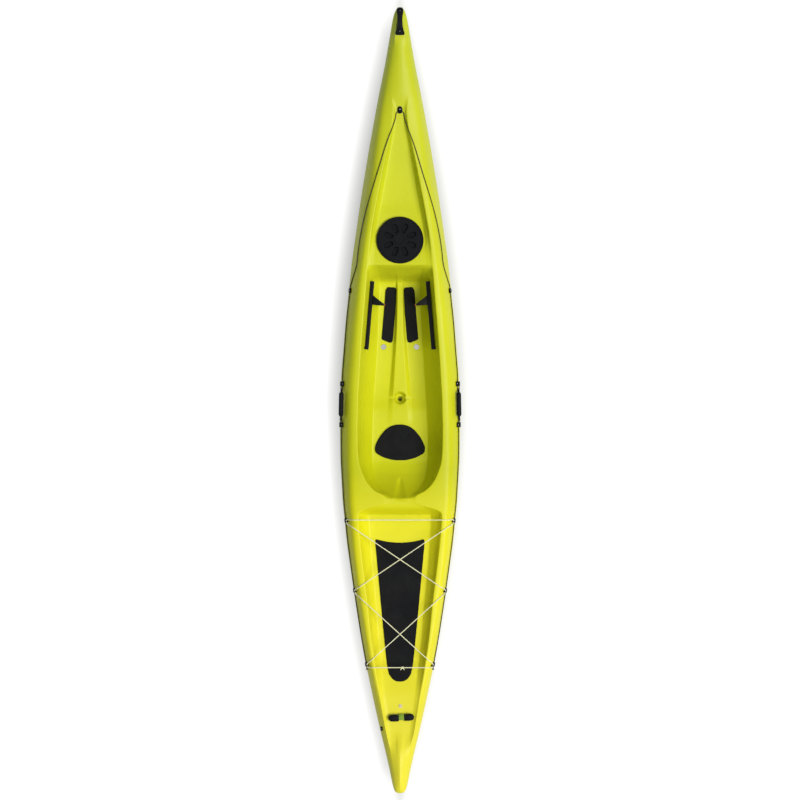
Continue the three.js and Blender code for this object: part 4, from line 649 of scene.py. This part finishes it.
def cad_normal(place, x, probe=0.006, margin=0.001):
    """The faceted deck's normal, from heights that never lie past the gunwale"""
    edge = beam_at(place) - margin
    low, high = max(x - probe, -edge), min(x + probe, edge)
    across = (cad_height(place, high) - cad_height(place, low)) / (high - low)
    step = probe / HALF
    along = (cad_height(place + step, x) - cad_height(place - step, x)) / (2 * probe)
    return Vector((-across, -along, 1)).normalized()


def deck_frame(place, x):
    """A frame that stands on the deck: Z along its normal and Y towards the bow"""
    up = cad_normal(place, x)
    side = Vector((0, 1, 0)).cross(up).normalized()
    made = Matrix((side, up.cross(side), up)).transposed().to_4x4()
    made.translation = (x, place * HALF, cad_height(place, x))
    return made


def on_side(made, side):
    return made.copy() if side < 0 else Matrix.Scale(-1, 4, (1, 0, 0)) @ made


def weld(mesh, distance=1e-6):
    """Joins points that meet and turns every face outwards"""
    shape = bmesh.new()
    shape.from_mesh(mesh)
    bmesh.ops.remove_doubles(shape, verts=shape.verts, dist=distance)
    bmesh.ops.recalc_face_normals(shape, faces=shape.faces)
    shape.to_mesh(mesh)
    shape.free()
    return mesh


def swept(profile, sides):
    """Rows of points round an axis, from (radius, height) points"""
    angles = np.arange(sides) * math.tau / sides
    return np.array([[(r * math.cos(a), r * math.sin(a), z) for a in angles] for r, z in profile])


def round_faces(count, sides):
    k = np.arange(count * sides).reshape(count, sides)
    after = np.roll(k, -1, 1)
    return np.stack([k[:-1], after[:-1], after[1:], k[1:]], axis=-1).reshape(-1, 4).tolist()


def ring_mesh(rows, made):
    """A skin over rows of points that each go once round, given in a frame"""
    points = rows.reshape(-1, 3) @ np.array(made.to_3x3()).T + np.array(made.translation)
    return weld(new_mesh(points.tolist(), round_faces(*rows.shape[:2])))


def prism(outline, made, low, high):
    """An outline in a frame's XY, standing from one height to another"""
    return weld(standing([made @ Vector((x, y, z)) for z in (low, high) for x, y in outline]))


# The deck with its holes, tubes and drain, and the hull under it
HATCH_NECK, HATCH_SIDES, OVERRUN, TUBE_CLEAR = 0.11, 96, 0.03, 0.0005
SCUPPER_PLACE, SCUPPER_ACROSS, SCUPPER_RADIUS, SCUPPER_SINK = 0.137, 0.095, 0.015, 0.003
SCUPPER_FLARE, SCUPPER_SIDES, BEND_ANGLE = 2.1, 40, 36
DRAIN_PLACE, DRAIN_MOUTH, DRAIN_THROAT, DRAIN_BORE = 0.0066, 0.037, 0.020, 0.0155
DRAIN_DEPTH, DRAIN_RAKE, DRAIN_FLARE, DRAIN_SIDES = 0.038, 0.046, 1.6, 64
CHANNEL_HALF, CHANNEL_STEP, CHANNEL_REACH = 0.008, 0.003, 0.2 * BEAM
RIDGE_FOOT, FLOOR_MARGIN, CASING_DEPTH, CASING_SINK = 0.19 * BEAM, 0.004, 0.012, 0.003
TRIM_HALF, TRIM_LOW, TUBE_EXTRA = 0.05, -0.1, 0.06
hatch_frame = deck_frame(HATCH_PLACE, 0)


def hull_z(x, y):
    rows = hull_grid[:, 0, 1]
    i = int(np.clip(np.searchsorted(rows, y), 0, len(rows) - 1))
    return float(np.interp(x, hull_grid[i][:, 0], hull_grid[i][:, 2]))


def drain_points():
    """The drain's mouth on the ridge, its throat below, and where its raked bore leaves the hull"""
    y = DRAIN_PLACE * HALF
    mouth = Vector((0, y, deck_z(0, y)))
    foot = Vector((0, y - DRAIN_RAKE, hull_z(0, y - DRAIN_RAKE) + TUBE_CLEAR))
    return mouth, mouth - Vector((0, 0, DRAIN_DEPTH)), foot


def cut_scuppers(deck):
    deep, sink = Vector((0, 0, OVERRUN)), Vector((0, 0, SCUPPER_SINK))
    for side in (-1, 1):
        x, y = side * SCUPPER_ACROSS, SCUPPER_PLACE * HALF
        top, foot = Vector((x, y, deck_z(x, y))), Vector((x, y, hull_z(x, y) + TUBE_CLEAR))
        mouth = cone(SCUPPER_RADIUS, top - sink, top + deep, SCUPPER_RADIUS * SCUPPER_FLARE, SCUPPER_SIDES)
        combine(deck, cone(SCUPPER_RADIUS + WALL, foot, top - sink, sides=SCUPPER_SIDES), JOIN)
        combine(deck, cone(SCUPPER_RADIUS, foot - deep, top + deep, sides=SCUPPER_SIDES), CUT)
        combine(deck, mouth, CUT)


def cut_drain(deck):
    """The drain: a wide mouth in the ridge, a raked bore through the hull and a channel across"""
    mouth, throat, foot = drain_points()
    deep, below = Vector((0, 0, OVERRUN)), Vector((0, 0, WALL))
    ridge, floor = mouth.z, deck_z(RIDGE_FOOT + FLOOR_MARGIN, mouth.y)
    high, low = ridge - CASING_SINK, floor - CASING_SINK
    half = [(CHANNEL_REACH + WALL, floor - CASING_DEPTH), (CHANNEL_REACH + WALL, low), (RIDGE_FOOT, low),
            (RIDGE_FOOT * RIDGE_FLAT, high)]
    casing = half + [(-x, z) for x, z in reversed(half)]
    along = Matrix(((1, 0, 0, 0), (0, 0, -1, mouth.y), (0, 1, 0, 0), (0, 0, 0, 1)))
    combine(deck, prism(casing, along, -CHANNEL_HALF - WALL, CHANNEL_HALF + WALL), JOIN)
    combine(deck, cone(DRAIN_THROAT + WALL, throat - below, mouth - below * 0.8, DRAIN_MOUTH + WALL), JOIN)
    combine(deck, cone(DRAIN_BORE + WALL, foot + (foot - throat) * TUBE_EXTRA, throat - below / 2), JOIN)
    combine(deck, prism(square(TRIM_HALF, foot.y), Matrix.Identity(4), TRIM_LOW, foot.z), CUT)
    combine(deck, cone(DRAIN_THROAT, throat, mouth, DRAIN_MOUTH, DRAIN_SIDES), CUT)
    flare = cone(DRAIN_MOUTH, mouth - below / 2, mouth + deep, DRAIN_MOUTH * DRAIN_FLARE, DRAIN_SIDES)
    combine(deck, flare, CUT)
    combine(deck, cone(DRAIN_BORE, foot - deep, throat + below), CUT)
    channel = [(-CHANNEL_REACH, floor + CHANNEL_STEP), (CHANNEL_REACH, floor + CHANNEL_STEP),
               (CHANNEL_REACH, ridge + OVERRUN), (-CHANNEL_REACH, ridge + OVERRUN)]
    combine(deck, prism(channel, along, -CHANNEL_HALF, CHANNEL_HALF), CUT)


def make_deck():
    deck = add_object("deck_moulding", shell_mesh(deck_grid))
    hatch = cone(HATCH_NECK, (0, 0, -OVERRUN), (0, 0, OVERRUN), sides=HATCH_SIDES)
    hatch.transform(hatch_frame)
    combine(deck, hatch, CUT)
    cut_scuppers(deck)
    cut_drain(deck)
    finish_piece(deck, BEND_ANGLE, "boat", "deck_shell", "moulded_hull")


def make_hull():
    hull = add_object("hull_moulding", shell_mesh(hull_grid[:, ::-1]))
    deep = Vector((0, 0, OVERRUN * 2))
    for side in (-1, 1):
        at = Vector((side * SCUPPER_ACROSS, SCUPPER_PLACE * HALF, 0))
        hole = cone(SCUPPER_RADIUS + WALL + GAP, at - deep, at + deep, sides=SCUPPER_SIDES)
        combine(hull, hole, CUT)
    _, throat, foot = drain_points()
    foot.z = 0
    combine(hull, cone(DRAIN_BORE + WALL + GAP, foot + (foot - throat), throat), CUT)
    finish_piece(hull, BEND_ANGLE, "boat", "hull_shell", "moulded_hull")


make_deck()
make_hull()


# The hatch: its ring, and a lid with finger pockets round a hub
HATCH_RADIUS, HATCH_LEDGE, HATCH_MOUTH = 0.135, 0.125, 0.105
HATCH_FOOT, HATCH_FLANGE, HATCH_SHELF, HATCH_RIM = -0.026, -0.004, 0.006, 0.014
ring_fillets = [0, 0.001, 0.0005, 0.0005, 0.0045, 0.0016, 0.0008, 0.001, 0]
LID_SHOULDER, LID_EDGE, LID_PLUG = 0.1228, 0.1245, 0.104
LID_BOTTOM, LID_LOW, LID_TOP = -0.008, 0.0088, 0.0138
lid_fillets = [0, 0.0016, 0.0006, 0.0006, 0.002, 0]
FINGERS, FINGER_DEPTH, FINGER_ENDS = 8, 0.014, ((0.044, 0.05), (0.093, 0.099))
FINGER_RADII, FINGER_HALVES, FINGER_WALL = (0.046, 0.082, 0.097), (0.009, 0.0145, 0.009), (0.001, 0.002)
HUB_EDGES, HUB_HEIGHT = ((0.0262, 0.0276), (0.03, 0.0314)), 0.0014
DISH_EDGE, DISH_DEPTH = (0.02, 0.0262), 0.001
# Radii of the lid's rows of points: from, up to, step
LID_ROWS = [(0.005, 0.0255, 0.004), (0.0257, 0.0320, 0.0007), (0.034, 0.0435, 0.003),
            (0.0440, 0.0995, 0.0011), (0.102, 0.1225, 0.004)]
LID_SIDES = 400


def make_hatch_ring():
    profile = [(HATCH_MOUTH, HATCH_FOOT), (HATCH_NECK, HATCH_FOOT), (HATCH_NECK, HATCH_FLANGE),
               (HATCH_RADIUS, HATCH_FLANGE), (HATCH_RADIUS, HATCH_RIM), (HATCH_LEDGE, HATCH_RIM),
               (HATCH_LEDGE, HATCH_SHELF), (HATCH_MOUTH, HATCH_SHELF), (HATCH_MOUTH, HATCH_FOOT)]
    rows = swept(rounded(np.array(profile), ring_fillets, 4, 1), HATCH_SIDES)
    ring = add_object("hatch_rim", ring_mesh(rows, hatch_frame))
    finish_piece(ring, 45, "boat", "hatch_ring", "black_plastic")


def lid_height(radius, angle):
    """The lid's top: a pocket at every finger place, and a ring round a shallow dish"""
    turn = math.tau / FINGERS
    across = np.abs(radius * np.sin(np.mod(angle, turn) - turn / 2))
    half = np.interp(radius, FINGER_RADII, FINGER_HALVES)
    pocket = (1 - bump(across, half - FINGER_WALL[0], half + FINGER_WALL[1])) * band(radius, *FINGER_ENDS)
    dish = 1 - bump(radius, *DISH_EDGE)
    return LID_TOP - FINGER_DEPTH * pocket + HUB_HEIGHT * band(radius, *HUB_EDGES) - DISH_DEPTH * dish


def make_hatch_lid():
    radii = np.concatenate([[0.0]] + [np.arange(*row) for row in LID_ROWS])
    r, a = np.meshgrid(radii, np.arange(LID_SIDES) * math.tau / LID_SIDES, indexing="ij")
    top = np.dstack([r * np.cos(a), r * np.sin(a), lid_height(r, a)])
    profile = [(LID_SHOULDER, LID_TOP), (LID_EDGE, LID_TOP), (LID_EDGE, LID_LOW), (LID_PLUG, LID_LOW),
               (LID_PLUG, LID_BOTTOM), (0, LID_BOTTOM)]
    below = swept(rounded(np.array(profile), lid_fillets, 3, 1), LID_SIDES)
    lid = add_object("hatch_cover", ring_mesh(np.vstack([top, below]), hatch_frame))
    finish_piece(lid, 50, "hatch_lid", "hatch_lid", "soft_black")


make_hatch_ring()
make_hatch_lid()


# Foam pads: sheets with rounded edges that lie on the deck
PAD_CELL, EDGE_SHARES = 0.012, (0.15, 0.3, 0.55)
heel_rows = [
    [0.2828, 0.06], [0.289, 0.08], [0.2904, 0.208], [0.2828, 0.243], [0.2433, 0.26], [0.1567, 0.308],
    [0.1521, 0.25], [0.1473, 0.167], [0.149, 0.133], [0.1554, 0.118], [0.2242, 0.08],
]
seat_rows = [
    [-0.0615, 0.06], [-0.066, 0.16], [-0.0757, 0.25], [-0.0973, 0.36], [-0.1197, 0.423], [-0.134, 0.41],
    [-0.1465, 0.267], [-0.1529, 0.1],
]
rear_rows = [
    [-0.3625, 0.06], [-0.3605, 0.2], [-0.3565, 0.33], [-0.354, 0.385], [-0.3545, 0.405], [-0.36, 0.413],
    [-0.4841, 0.338], [-0.5605, 0.292], [-0.637, 0.242], [-0.675, 0.215], [-0.697, 0.185],
    [-0.711, 0.12], [-0.716, 0.05],
]


def round_loop(points, radius, steps=4):
    out = []
    for k, p in enumerate(points):
        a, b = points[k - 1] - p, points[(k + 1) % len(points)] - p
        la, lb = np.hypot(*a), np.hypot(*b)
        d = min(radius, la * 0.45, lb * 0.45)
        first, last = p + a / la * d, p + b / lb * d
        out += arc(first, p, last, [s / steps for s in range(steps + 1)])
    return np.array(out)


def edge_distance(points, loop):
    """How far each point lies from the nearest side of an outline"""
    a, b = loop, np.roll(loop, -1, 0)
    d = b - a
    offset = points[:, None] - a[None]
    share = np.clip((offset * d).sum(2) / np.maximum((d * d).sum(1), 1e-12), 0, 1)
    return np.hypot(*np.moveaxis(offset - share[:, :, None] * d[None], 2, 0)).min(1)


def make_pad(name, rows, side, corner, thickness, node_name):
    """A foam sheet on the deck inside an outline, with its upper edge rounded off"""
    edge = thickness / 2
    outline = [np.array([share * BEAM * (side or 1), place * HALF]) for place, share in rows]
    if not side:
        outline += [p * (-1, 1) for p in reversed(outline)]
    loop = round_loop(outline, corner)
    shape = bmesh.new()
    face = shape.faces.new([shape.verts.new((x, y, 0)) for x, y in loop])
    for share in EDGE_SHARES:
        bmesh.ops.inset_individual(shape, faces=[face], thickness=edge * share, use_even_offset=True)
    low, high = loop.min(0), loop.max(0)
    for axis in (0, 1):
        for at in np.arange(low[axis] + PAD_CELL / 2, high[axis], PAD_CELL):
            place, normal = [0, 0, 0], [0, 0, 0]
            place[axis], normal[axis] = at, 1
            parts = shape.verts[:] + shape.edges[:] + shape.faces[:]
            bmesh.ops.bisect_plane(shape, geom=parts, plane_co=place, plane_no=normal, dist=1e-6)
    shape.verts.ensure_lookup_table()
    flat = np.array([v.co[:2] for v in shape.verts])
    inset = np.clip(edge_distance(flat, loop), 0, edge)
    rise = thickness - edge + np.sqrt(np.maximum(edge ** 2 - (edge - inset) ** 2, 0))
    base = np.array([deck_z(x, y) for x, y in flat]) + GAP
    top = np.column_stack([flat, base + rise])
    faces = [[v.index for v in f.verts] for f in shape.faces]
    corners = [e.link_loops[0] for e in shape.edges if len(e.link_faces) == 1]
    rim = [(c.vert.index, c.link_loop_next.vert.index) for c in corners]
    shape.free()
    n = len(flat)
    under = np.column_stack([flat, base])
    solid = faces + [[i + n for i in reversed(f)] for f in faces] + [[b, a, a + n, b + n] for a, b in rim]
    pad = add_object(name, weld(new_mesh(np.vstack([top, under]).tolist(), solid), 1e-7))
    finish_piece(pad, 42, "boat", node_name, "foam")


make_pad("heel_foam_left", heel_rows, -1, 0.006, 0.006, "heel_pad_left")
make_pad("heel_foam_right", heel_rows, 1, 0.006, 0.006, "heel_pad_right")
make_pad("seat_foam", seat_rows, 0, 0.020, 0.010, "seat_pad")
make_pad("rear_foam", rear_rows, 0, 0.012, 0.006, "tankwell_pad")


# Cords: smooth runs between the points where they are held
LINE_RADIUS, LINE_LIFT, LINE_IN = 0.0025, 0.0033, 0.0055
BUNGEE_RADIUS, BUNGEE_LIFT, CROSSING_LIFT = 0.00275, 0.0038, 0.0066
EYELET_SHARE, EYELET_HALF, LUG_IN, LUG_AFT, LUG_LEVEL = 0.965, 0.016, 0.027, 0.005, 0.0095
FRONT, WELL_FRONT, WELL_MIDDLE, WELL_REAR = 0.28, -0.306, -0.4841, -0.6726
ANCHORS, ANCHOR_IN, ANCHOR_HALF = (0.0425, -0.0619), 0.014, 0.014
BOW_EYELET, BOW_LINE_AFT, BOW_LINE_OUT = 0.739, 0.013, 0.0178
fore_line = [
    [0.345, 0.886], [0.38, 0.886], [0.4102, 0.886], [0.4815, 0.83], [0.5427, 0.72], [0.6051, 0.585],
    [0.6688, 0.41], [0.7287, 0.14],
]
fore_places = [0.715, 0.69, 0.65, 0.6, 0.55, 0.51, 0.47, 0.42, 0.38, 0.345]
side_places = [
    0.2, 0.127, 0.072, 0.006, -0.03, -0.1, -0.153, -0.2293, -0.273, -0.345, -0.4, -0.44, -0.53, -0.6,
]
SIDE_SHARE, CORD_STEP, DECK_CLEAR = 0.973, 0.006, 0.0002
STOPPER_AT, STOPPER_LIFT, STOPPER_ENDS = 0.027, 0.0056, (-0.022, -0.032)
STOPPER_COIL, STOPPER_TURNS, STOPPER_RADIUS = 0.0026, 2.5, 0.0022
KNOT_X, KNOT_HALF, KNOT_ROOM, KNOT_COIL, KNOT_TURNS = 0.014, 0.0085, 0.01, 0.0038, 3
tail_rows = [(0.004, 0, 0.001), (0.007, -0.006, 0.005), (0.010, -0.013, 0.0065)]
TAIL_RADIUS, TAIL_STEP, LUG_SPREAD, LONGEST_RUN, RUN_STEP = 0.0025, 0.0015, 0.010, 0.05, 0.04


def between(at, low, high, first, last):
    return ((high - at) * first + (at - low) * last) / (high - low)


def spline(points, step):
    """A smooth run through points, with its samples about a step apart"""
    p = np.array([tuple(v) for v in points], float)
    p = np.vstack([2 * p[0] - p[1], p, 2 * p[-1] - p[-2]])
    out = []
    for k in range(1, len(p) - 2):
        a, b, c, d = p[k - 1:k + 3]
        t = np.cumsum([0] + [np.linalg.norm(v) ** 0.5 for v in (b - a, c - b, d - c)])
        n = max(1, math.ceil(np.linalg.norm(c - b) / step))
        for u in t[1] + (t[2] - t[1]) * np.arange(n) / n:
            pairs = enumerate(((a, b), (b, c), (c, d)))
            ab, bc, cd = (between(u, t[i], t[i + 1], *pair) for i, pair in pairs)
            abc, bcd = between(u, t[0], t[2], ab, bc), between(u, t[1], t[3], bc, cd)
            out.append(between(u, t[1], t[2], abc, bcd))
    return np.array(out + [p[-2]])


def tube_mesh(run, radius, sides=12):
    """A round cord along a run, with a map of its length and turn"""
    ahead = np.gradient(run, axis=0)
    ahead /= np.linalg.norm(ahead, axis=1)[:, None]
    side = np.cross(ahead[0], (0, 0, 1) if abs(ahead[0][2]) < 0.9 else (1, 0, 0))
    angles = math.tau * np.arange(sides) / sides
    rings = []
    for place, way in zip(run, ahead):
        side = side - way * side.dot(way)
        side /= np.linalg.norm(side)
        up = np.cross(way, side)
        rings.append(place + radius * (np.cos(angles)[:, None] * side + np.sin(angles)[:, None] * up))
    n = len(run)
    faces = round_faces(n, sides) + [list(range(sides))[::-1], list(range((n - 1) * sides, n * sides))]
    mesh = new_mesh(np.vstack(rings).tolist(), faces)
    far = np.concatenate([[0], np.cumsum(np.linalg.norm(np.diff(run, axis=0), axis=1))])
    i, j = np.meshgrid(np.arange(n - 1), np.arange(sides), indexing="ij")
    along = np.stack([far[i], far[i], far[i + 1], far[i + 1]], axis=-1)
    turn = np.stack([j, j + 1, j + 1, j], axis=-1) / sides
    route = np.zeros((len(mesh.loops), 2))
    route[:along.size] = np.stack([along, turn], axis=-1).reshape(-1, 2)
    mesh.uv_layers.new(name="route").data.foreach_set("uv", route.ravel())
    return mesh


def wound(first, last, coil, turns, radius, step=0.0009):
    """The run of a cord that is wound into a knot between two points"""
    first, last = np.array(first), np.array(last)
    length = np.linalg.norm(last - first)
    way = (last - first) / length
    side = np.cross(way, (0, 0, 1))
    side /= np.linalg.norm(side)
    up = np.cross(way, side)
    t = np.linspace(0, 1, math.ceil(math.tau * coil * turns / step) + 1)[:, None]
    angle = math.tau * turns * t
    size = coil * np.minimum(1, np.minimum(t, 1 - t) * 8)
    inner = first + way * (radius + t * (length - 2 * radius))
    return inner + size * (np.cos(angle) * side + np.sin(angle) * up)


def joined(meshes):
    shape = bmesh.new()
    for mesh in meshes:
        shape.from_mesh(mesh)
    out = bpy.data.meshes.new("mesh")
    shape.to_mesh(out)
    shape.free()
    return out


def clear_of_deck(run, lift):
    out = []
    for x, y, z in run:
        up = deck_up(x, y)
        gap = (z - deck_z(x, y)) * up.z
        out.append(np.array((x, y, z)) + np.array(up) * max(0.0, lift - gap))
    return np.array(out)


def on_deck(place, share):
    """A point of the left side on the deck, where the line rests"""
    x, y = -share * beam_at(place), place * HALF
    return Vector((x, y, deck_z(x, y))) + deck_up(x, y) * LINE_LIFT


def eyelet_frame(place, side=-1):
    return on_side(deck_frame(place, -EYELET_SHARE * beam_at(place)), side)


def line_half():
    """The deck line from the bow to its end on the left"""
    bow = deck_frame(BOW_EYELET, 0)
    points = [bow @ Vector((-x, -BOW_LINE_AFT, LINE_LIFT)) for x in (0, BOW_LINE_OUT)]
    points += [on_deck(place, look(fore_line, place)) for place in fore_places]
    stops = [(place, [on_deck(place, SIDE_SHARE)]) for place in side_places]
    holds = [(place, eyelet_frame(place), EYELET_HALF)
             for place in (FRONT, WELL_FRONT, WELL_MIDDLE, WELL_REAR)]
    holds += [(place, deck_frame(place, ANCHOR_IN - beam_at(place)), ANCHOR_HALF) for place in ANCHORS]
    for place, made, half in holds:
        stops.append((place, [made @ Vector((-LINE_IN, y, LINE_LIFT)) for y in (half, -half)]))
    for _, held in sorted(stops, key=lambda stop: -stop[0]):
        points += held
    return points + [eyelet_frame(WELL_REAR) @ Vector((-LINE_IN, -STOPPER_AT, LINE_LIFT))]


def make_deck_line():
    left = line_half()
    right = [Vector((-p.x, p.y, p.z)) for p in left[1:]]
    run = clear_of_deck(spline(left[::-1] + right, CORD_STEP), LINE_RADIUS + DECK_CLEAR)
    meshes = [tube_mesh(run, LINE_RADIUS)]
    for side in (-1, 1):
        made = eyelet_frame(WELL_REAR, side)
        ends = [made @ Vector((-LINE_IN, y, STOPPER_LIFT)) for y in STOPPER_ENDS]
        knot = wound(*ends, STOPPER_COIL, STOPPER_TURNS, STOPPER_RADIUS)
        meshes.append(tube_mesh(knot, STOPPER_RADIUS))
    line = add_object("perimeter_line", joined(meshes))
    finish_piece(line, 60, "boat", "deck_line", "line")


def exit_of(place, side, way):
    """Where the bungee leaves a lug, ahead of it or behind it"""
    return eyelet_frame(place, side) @ Vector((LUG_IN, way * LUG_SPREAD - LUG_AFT, LUG_LEVEL))


def taut_over(a, b, crossing=None, count=96):
    """A cord pulled tight over the deck between two points, as an upper hull"""
    length = (b.xy - a.xy).length
    points = []
    for k in range(count + 1):
        spot = a.lerp(b, k / count)
        if 0 < k < count:
            spot.z = deck_z(spot.x, spot.y) + BUNGEE_LIFT / deck_up(spot.x, spot.y).z
        points.append((length * k / count, spot.z))
    if crossing is not None:
        points.append((length * a.x / (a.x - b.x), crossing))
        points.sort()
    hull = []
    for point in points:
        while len(hull) > 1:
            (x0, z0), (x1, z1) = hull[-2:]
            if (x1 - x0) * (point[1] - z0) < (point[0] - x0) * (z1 - z0):
                break
            hull.pop()
        hull.append(point)
    return [Vector((*a.xy.lerp(b.xy, far / length), z)) for far, z in hull]


def level_at_centre(run):
    for a, b in zip(run, run[1:]):
        if a.x * b.x <= 0 and a.x != b.x:
            return a.lerp(b, a.x / (a.x - b.x)).z


def make_bungee():
    across_rear = taut_over(exit_of(WELL_REAR, -1, -1), exit_of(WELL_REAR, 1, -1))
    middle = Vector((KNOT_X, across_rear[0].lerp(across_rear[-1], 0.5).y, level_at_centre(across_rear)))
    ends = [middle + Vector((way * KNOT_HALF, 0, 0)) for way in (-1, 1)]
    first = taut_over(exit_of(WELL_REAR, -1, 1), exit_of(WELL_MIDDLE, 1, -1))
    second = taut_over(exit_of(WELL_MIDDLE, 1, 1), exit_of(WELL_FRONT, -1, -1))
    over_first, over_second = (level_at_centre(run) + CROSSING_LIFT for run in (first, second))
    front = taut_over(exit_of(WELL_FRONT, -1, 1), exit_of(WELL_FRONT, 1, 1))
    third = taut_over(exit_of(WELL_FRONT, 1, -1), exit_of(WELL_MIDDLE, -1, 1), over_second)
    fourth = taut_over(exit_of(WELL_MIDDLE, -1, -1), exit_of(WELL_REAR, 1, 1), over_first)
    leaving = [p for p in across_rear if p.x < ends[0].x - KNOT_ROOM][::-1]
    coming = [p for p in across_rear if p.x > ends[1].x + KNOT_ROOM][::-1]
    points = []
    for p in [ends[0]] + leaving + first + second + front + third + fourth + coming + [ends[1]]:
        if points and (p - points[-1]).length > LONGEST_RUN:
            n, start = math.ceil((p - points[-1]).length / RUN_STEP), points[-1]
            points += [start.lerp(p, k / n) for k in range(1, n)]
        points.append(p)
    cord = add_object("lacing", tube_mesh(spline(points, CORD_STEP), BUNGEE_RADIUS))
    finish_piece(cord, 60, "boat", "bungee", "bungee")
    parts = [tube_mesh(wound(*ends, KNOT_COIL, KNOT_TURNS, BUNGEE_RADIUS), BUNGEE_RADIUS)]
    for way in (-1, 1):
        run = [middle + Vector((way * x, y, z)) for x, y, z in tail_rows]
        parts.append(tube_mesh(spline(run, TAIL_STEP), TAIL_RADIUS))
    knot = add_object("lacing_knot", joined(parts))
    finish_piece(knot, 60, "boat", "bungee_knot", "bungee")


make_deck_line()
make_bungee()


# Moulded fittings: the part's own shapes with their edges rounded
MEETING, FLAT_ANGLE, EDGE_ANGLE = 0.00002, 0.8, 28
body_of = {name: body for body, names in frame["record"]["behaviour"]["bodies"].items() for name in names}


def dress(name, slot, width, segments=2):
    """A CAD node's own shape, cleaned and bevelled, as its visible piece"""
    source = nodes[name]
    mesh = source.data.copy()
    mesh.transform(source.matrix_world)
    shape = bmesh.new()
    shape.from_mesh(mesh)
    bmesh.ops.remove_doubles(shape, verts=shape.verts, dist=MEETING)
    flat = math.radians(FLAT_ANGLE)
    bmesh.ops.dissolve_limit(shape, angle_limit=flat, verts=shape.verts, edges=shape.edges)
    shape.to_mesh(mesh)
    shape.free()
    piece = add_object(name + "_worked", mesh)
    change = piece.modifiers.new("edges", "BEVEL")
    change.width, change.segments, change.limit_method = width, segments, "ANGLE"
    change.angle_limit, change.use_clamp_overlap = math.radians(EDGE_ANGLE), True
    apply_changes(piece)
    finish_piece(piece, BEND_ANGLE, body_of.get(name, "boat"), name, slot)


# Each node with its slot, its edges' width and, where they aren't two, their segments
fittings = [
    ("bow_handle", "black_plastic", 0.0025, 3), ("bow_eyelet", "black_plastic", 0.0015),
    ("stern_bar", "black_plastic", 0.0008), ("stern_fitting", "black_plastic", 0.0015),
    ("stern_toggle", "soft_black", 0.002, 3), ("stern_webbing", "webbing", 0.0005),
    ("drain_socket", "pale_plastic", 0.0005), ("drain_plug", "pale_plastic", 0.0006),
    ("hatch_seal", "soft_black", 0.0005),
]
for side in ("left", "right"):
    fittings += [("foot_rail_" + side, "black_plastic", 0.0008), ("pedal_" + side, "black_plastic", 0.001),
                 ("pedal_release_" + side, "red_plastic", 0.0008),
                 ("side_handle_" + side, "soft_black", 0.0015, 3)]
    fittings += [(f"eyelet_{spot}_{side}", "black_plastic", 0.001)
                 for spot in ("front", "well_front", "well_middle", "well_rear")]
    fittings += [(f"side_anchor_{spot}_{side}", "black_plastic", 0.0012) for spot in ("front", "rear")]
fittings += [(name, "steel", 0.0004) for name in nodes if name.endswith("_screw")]
for fitting in fittings:
    dress(*fitting)
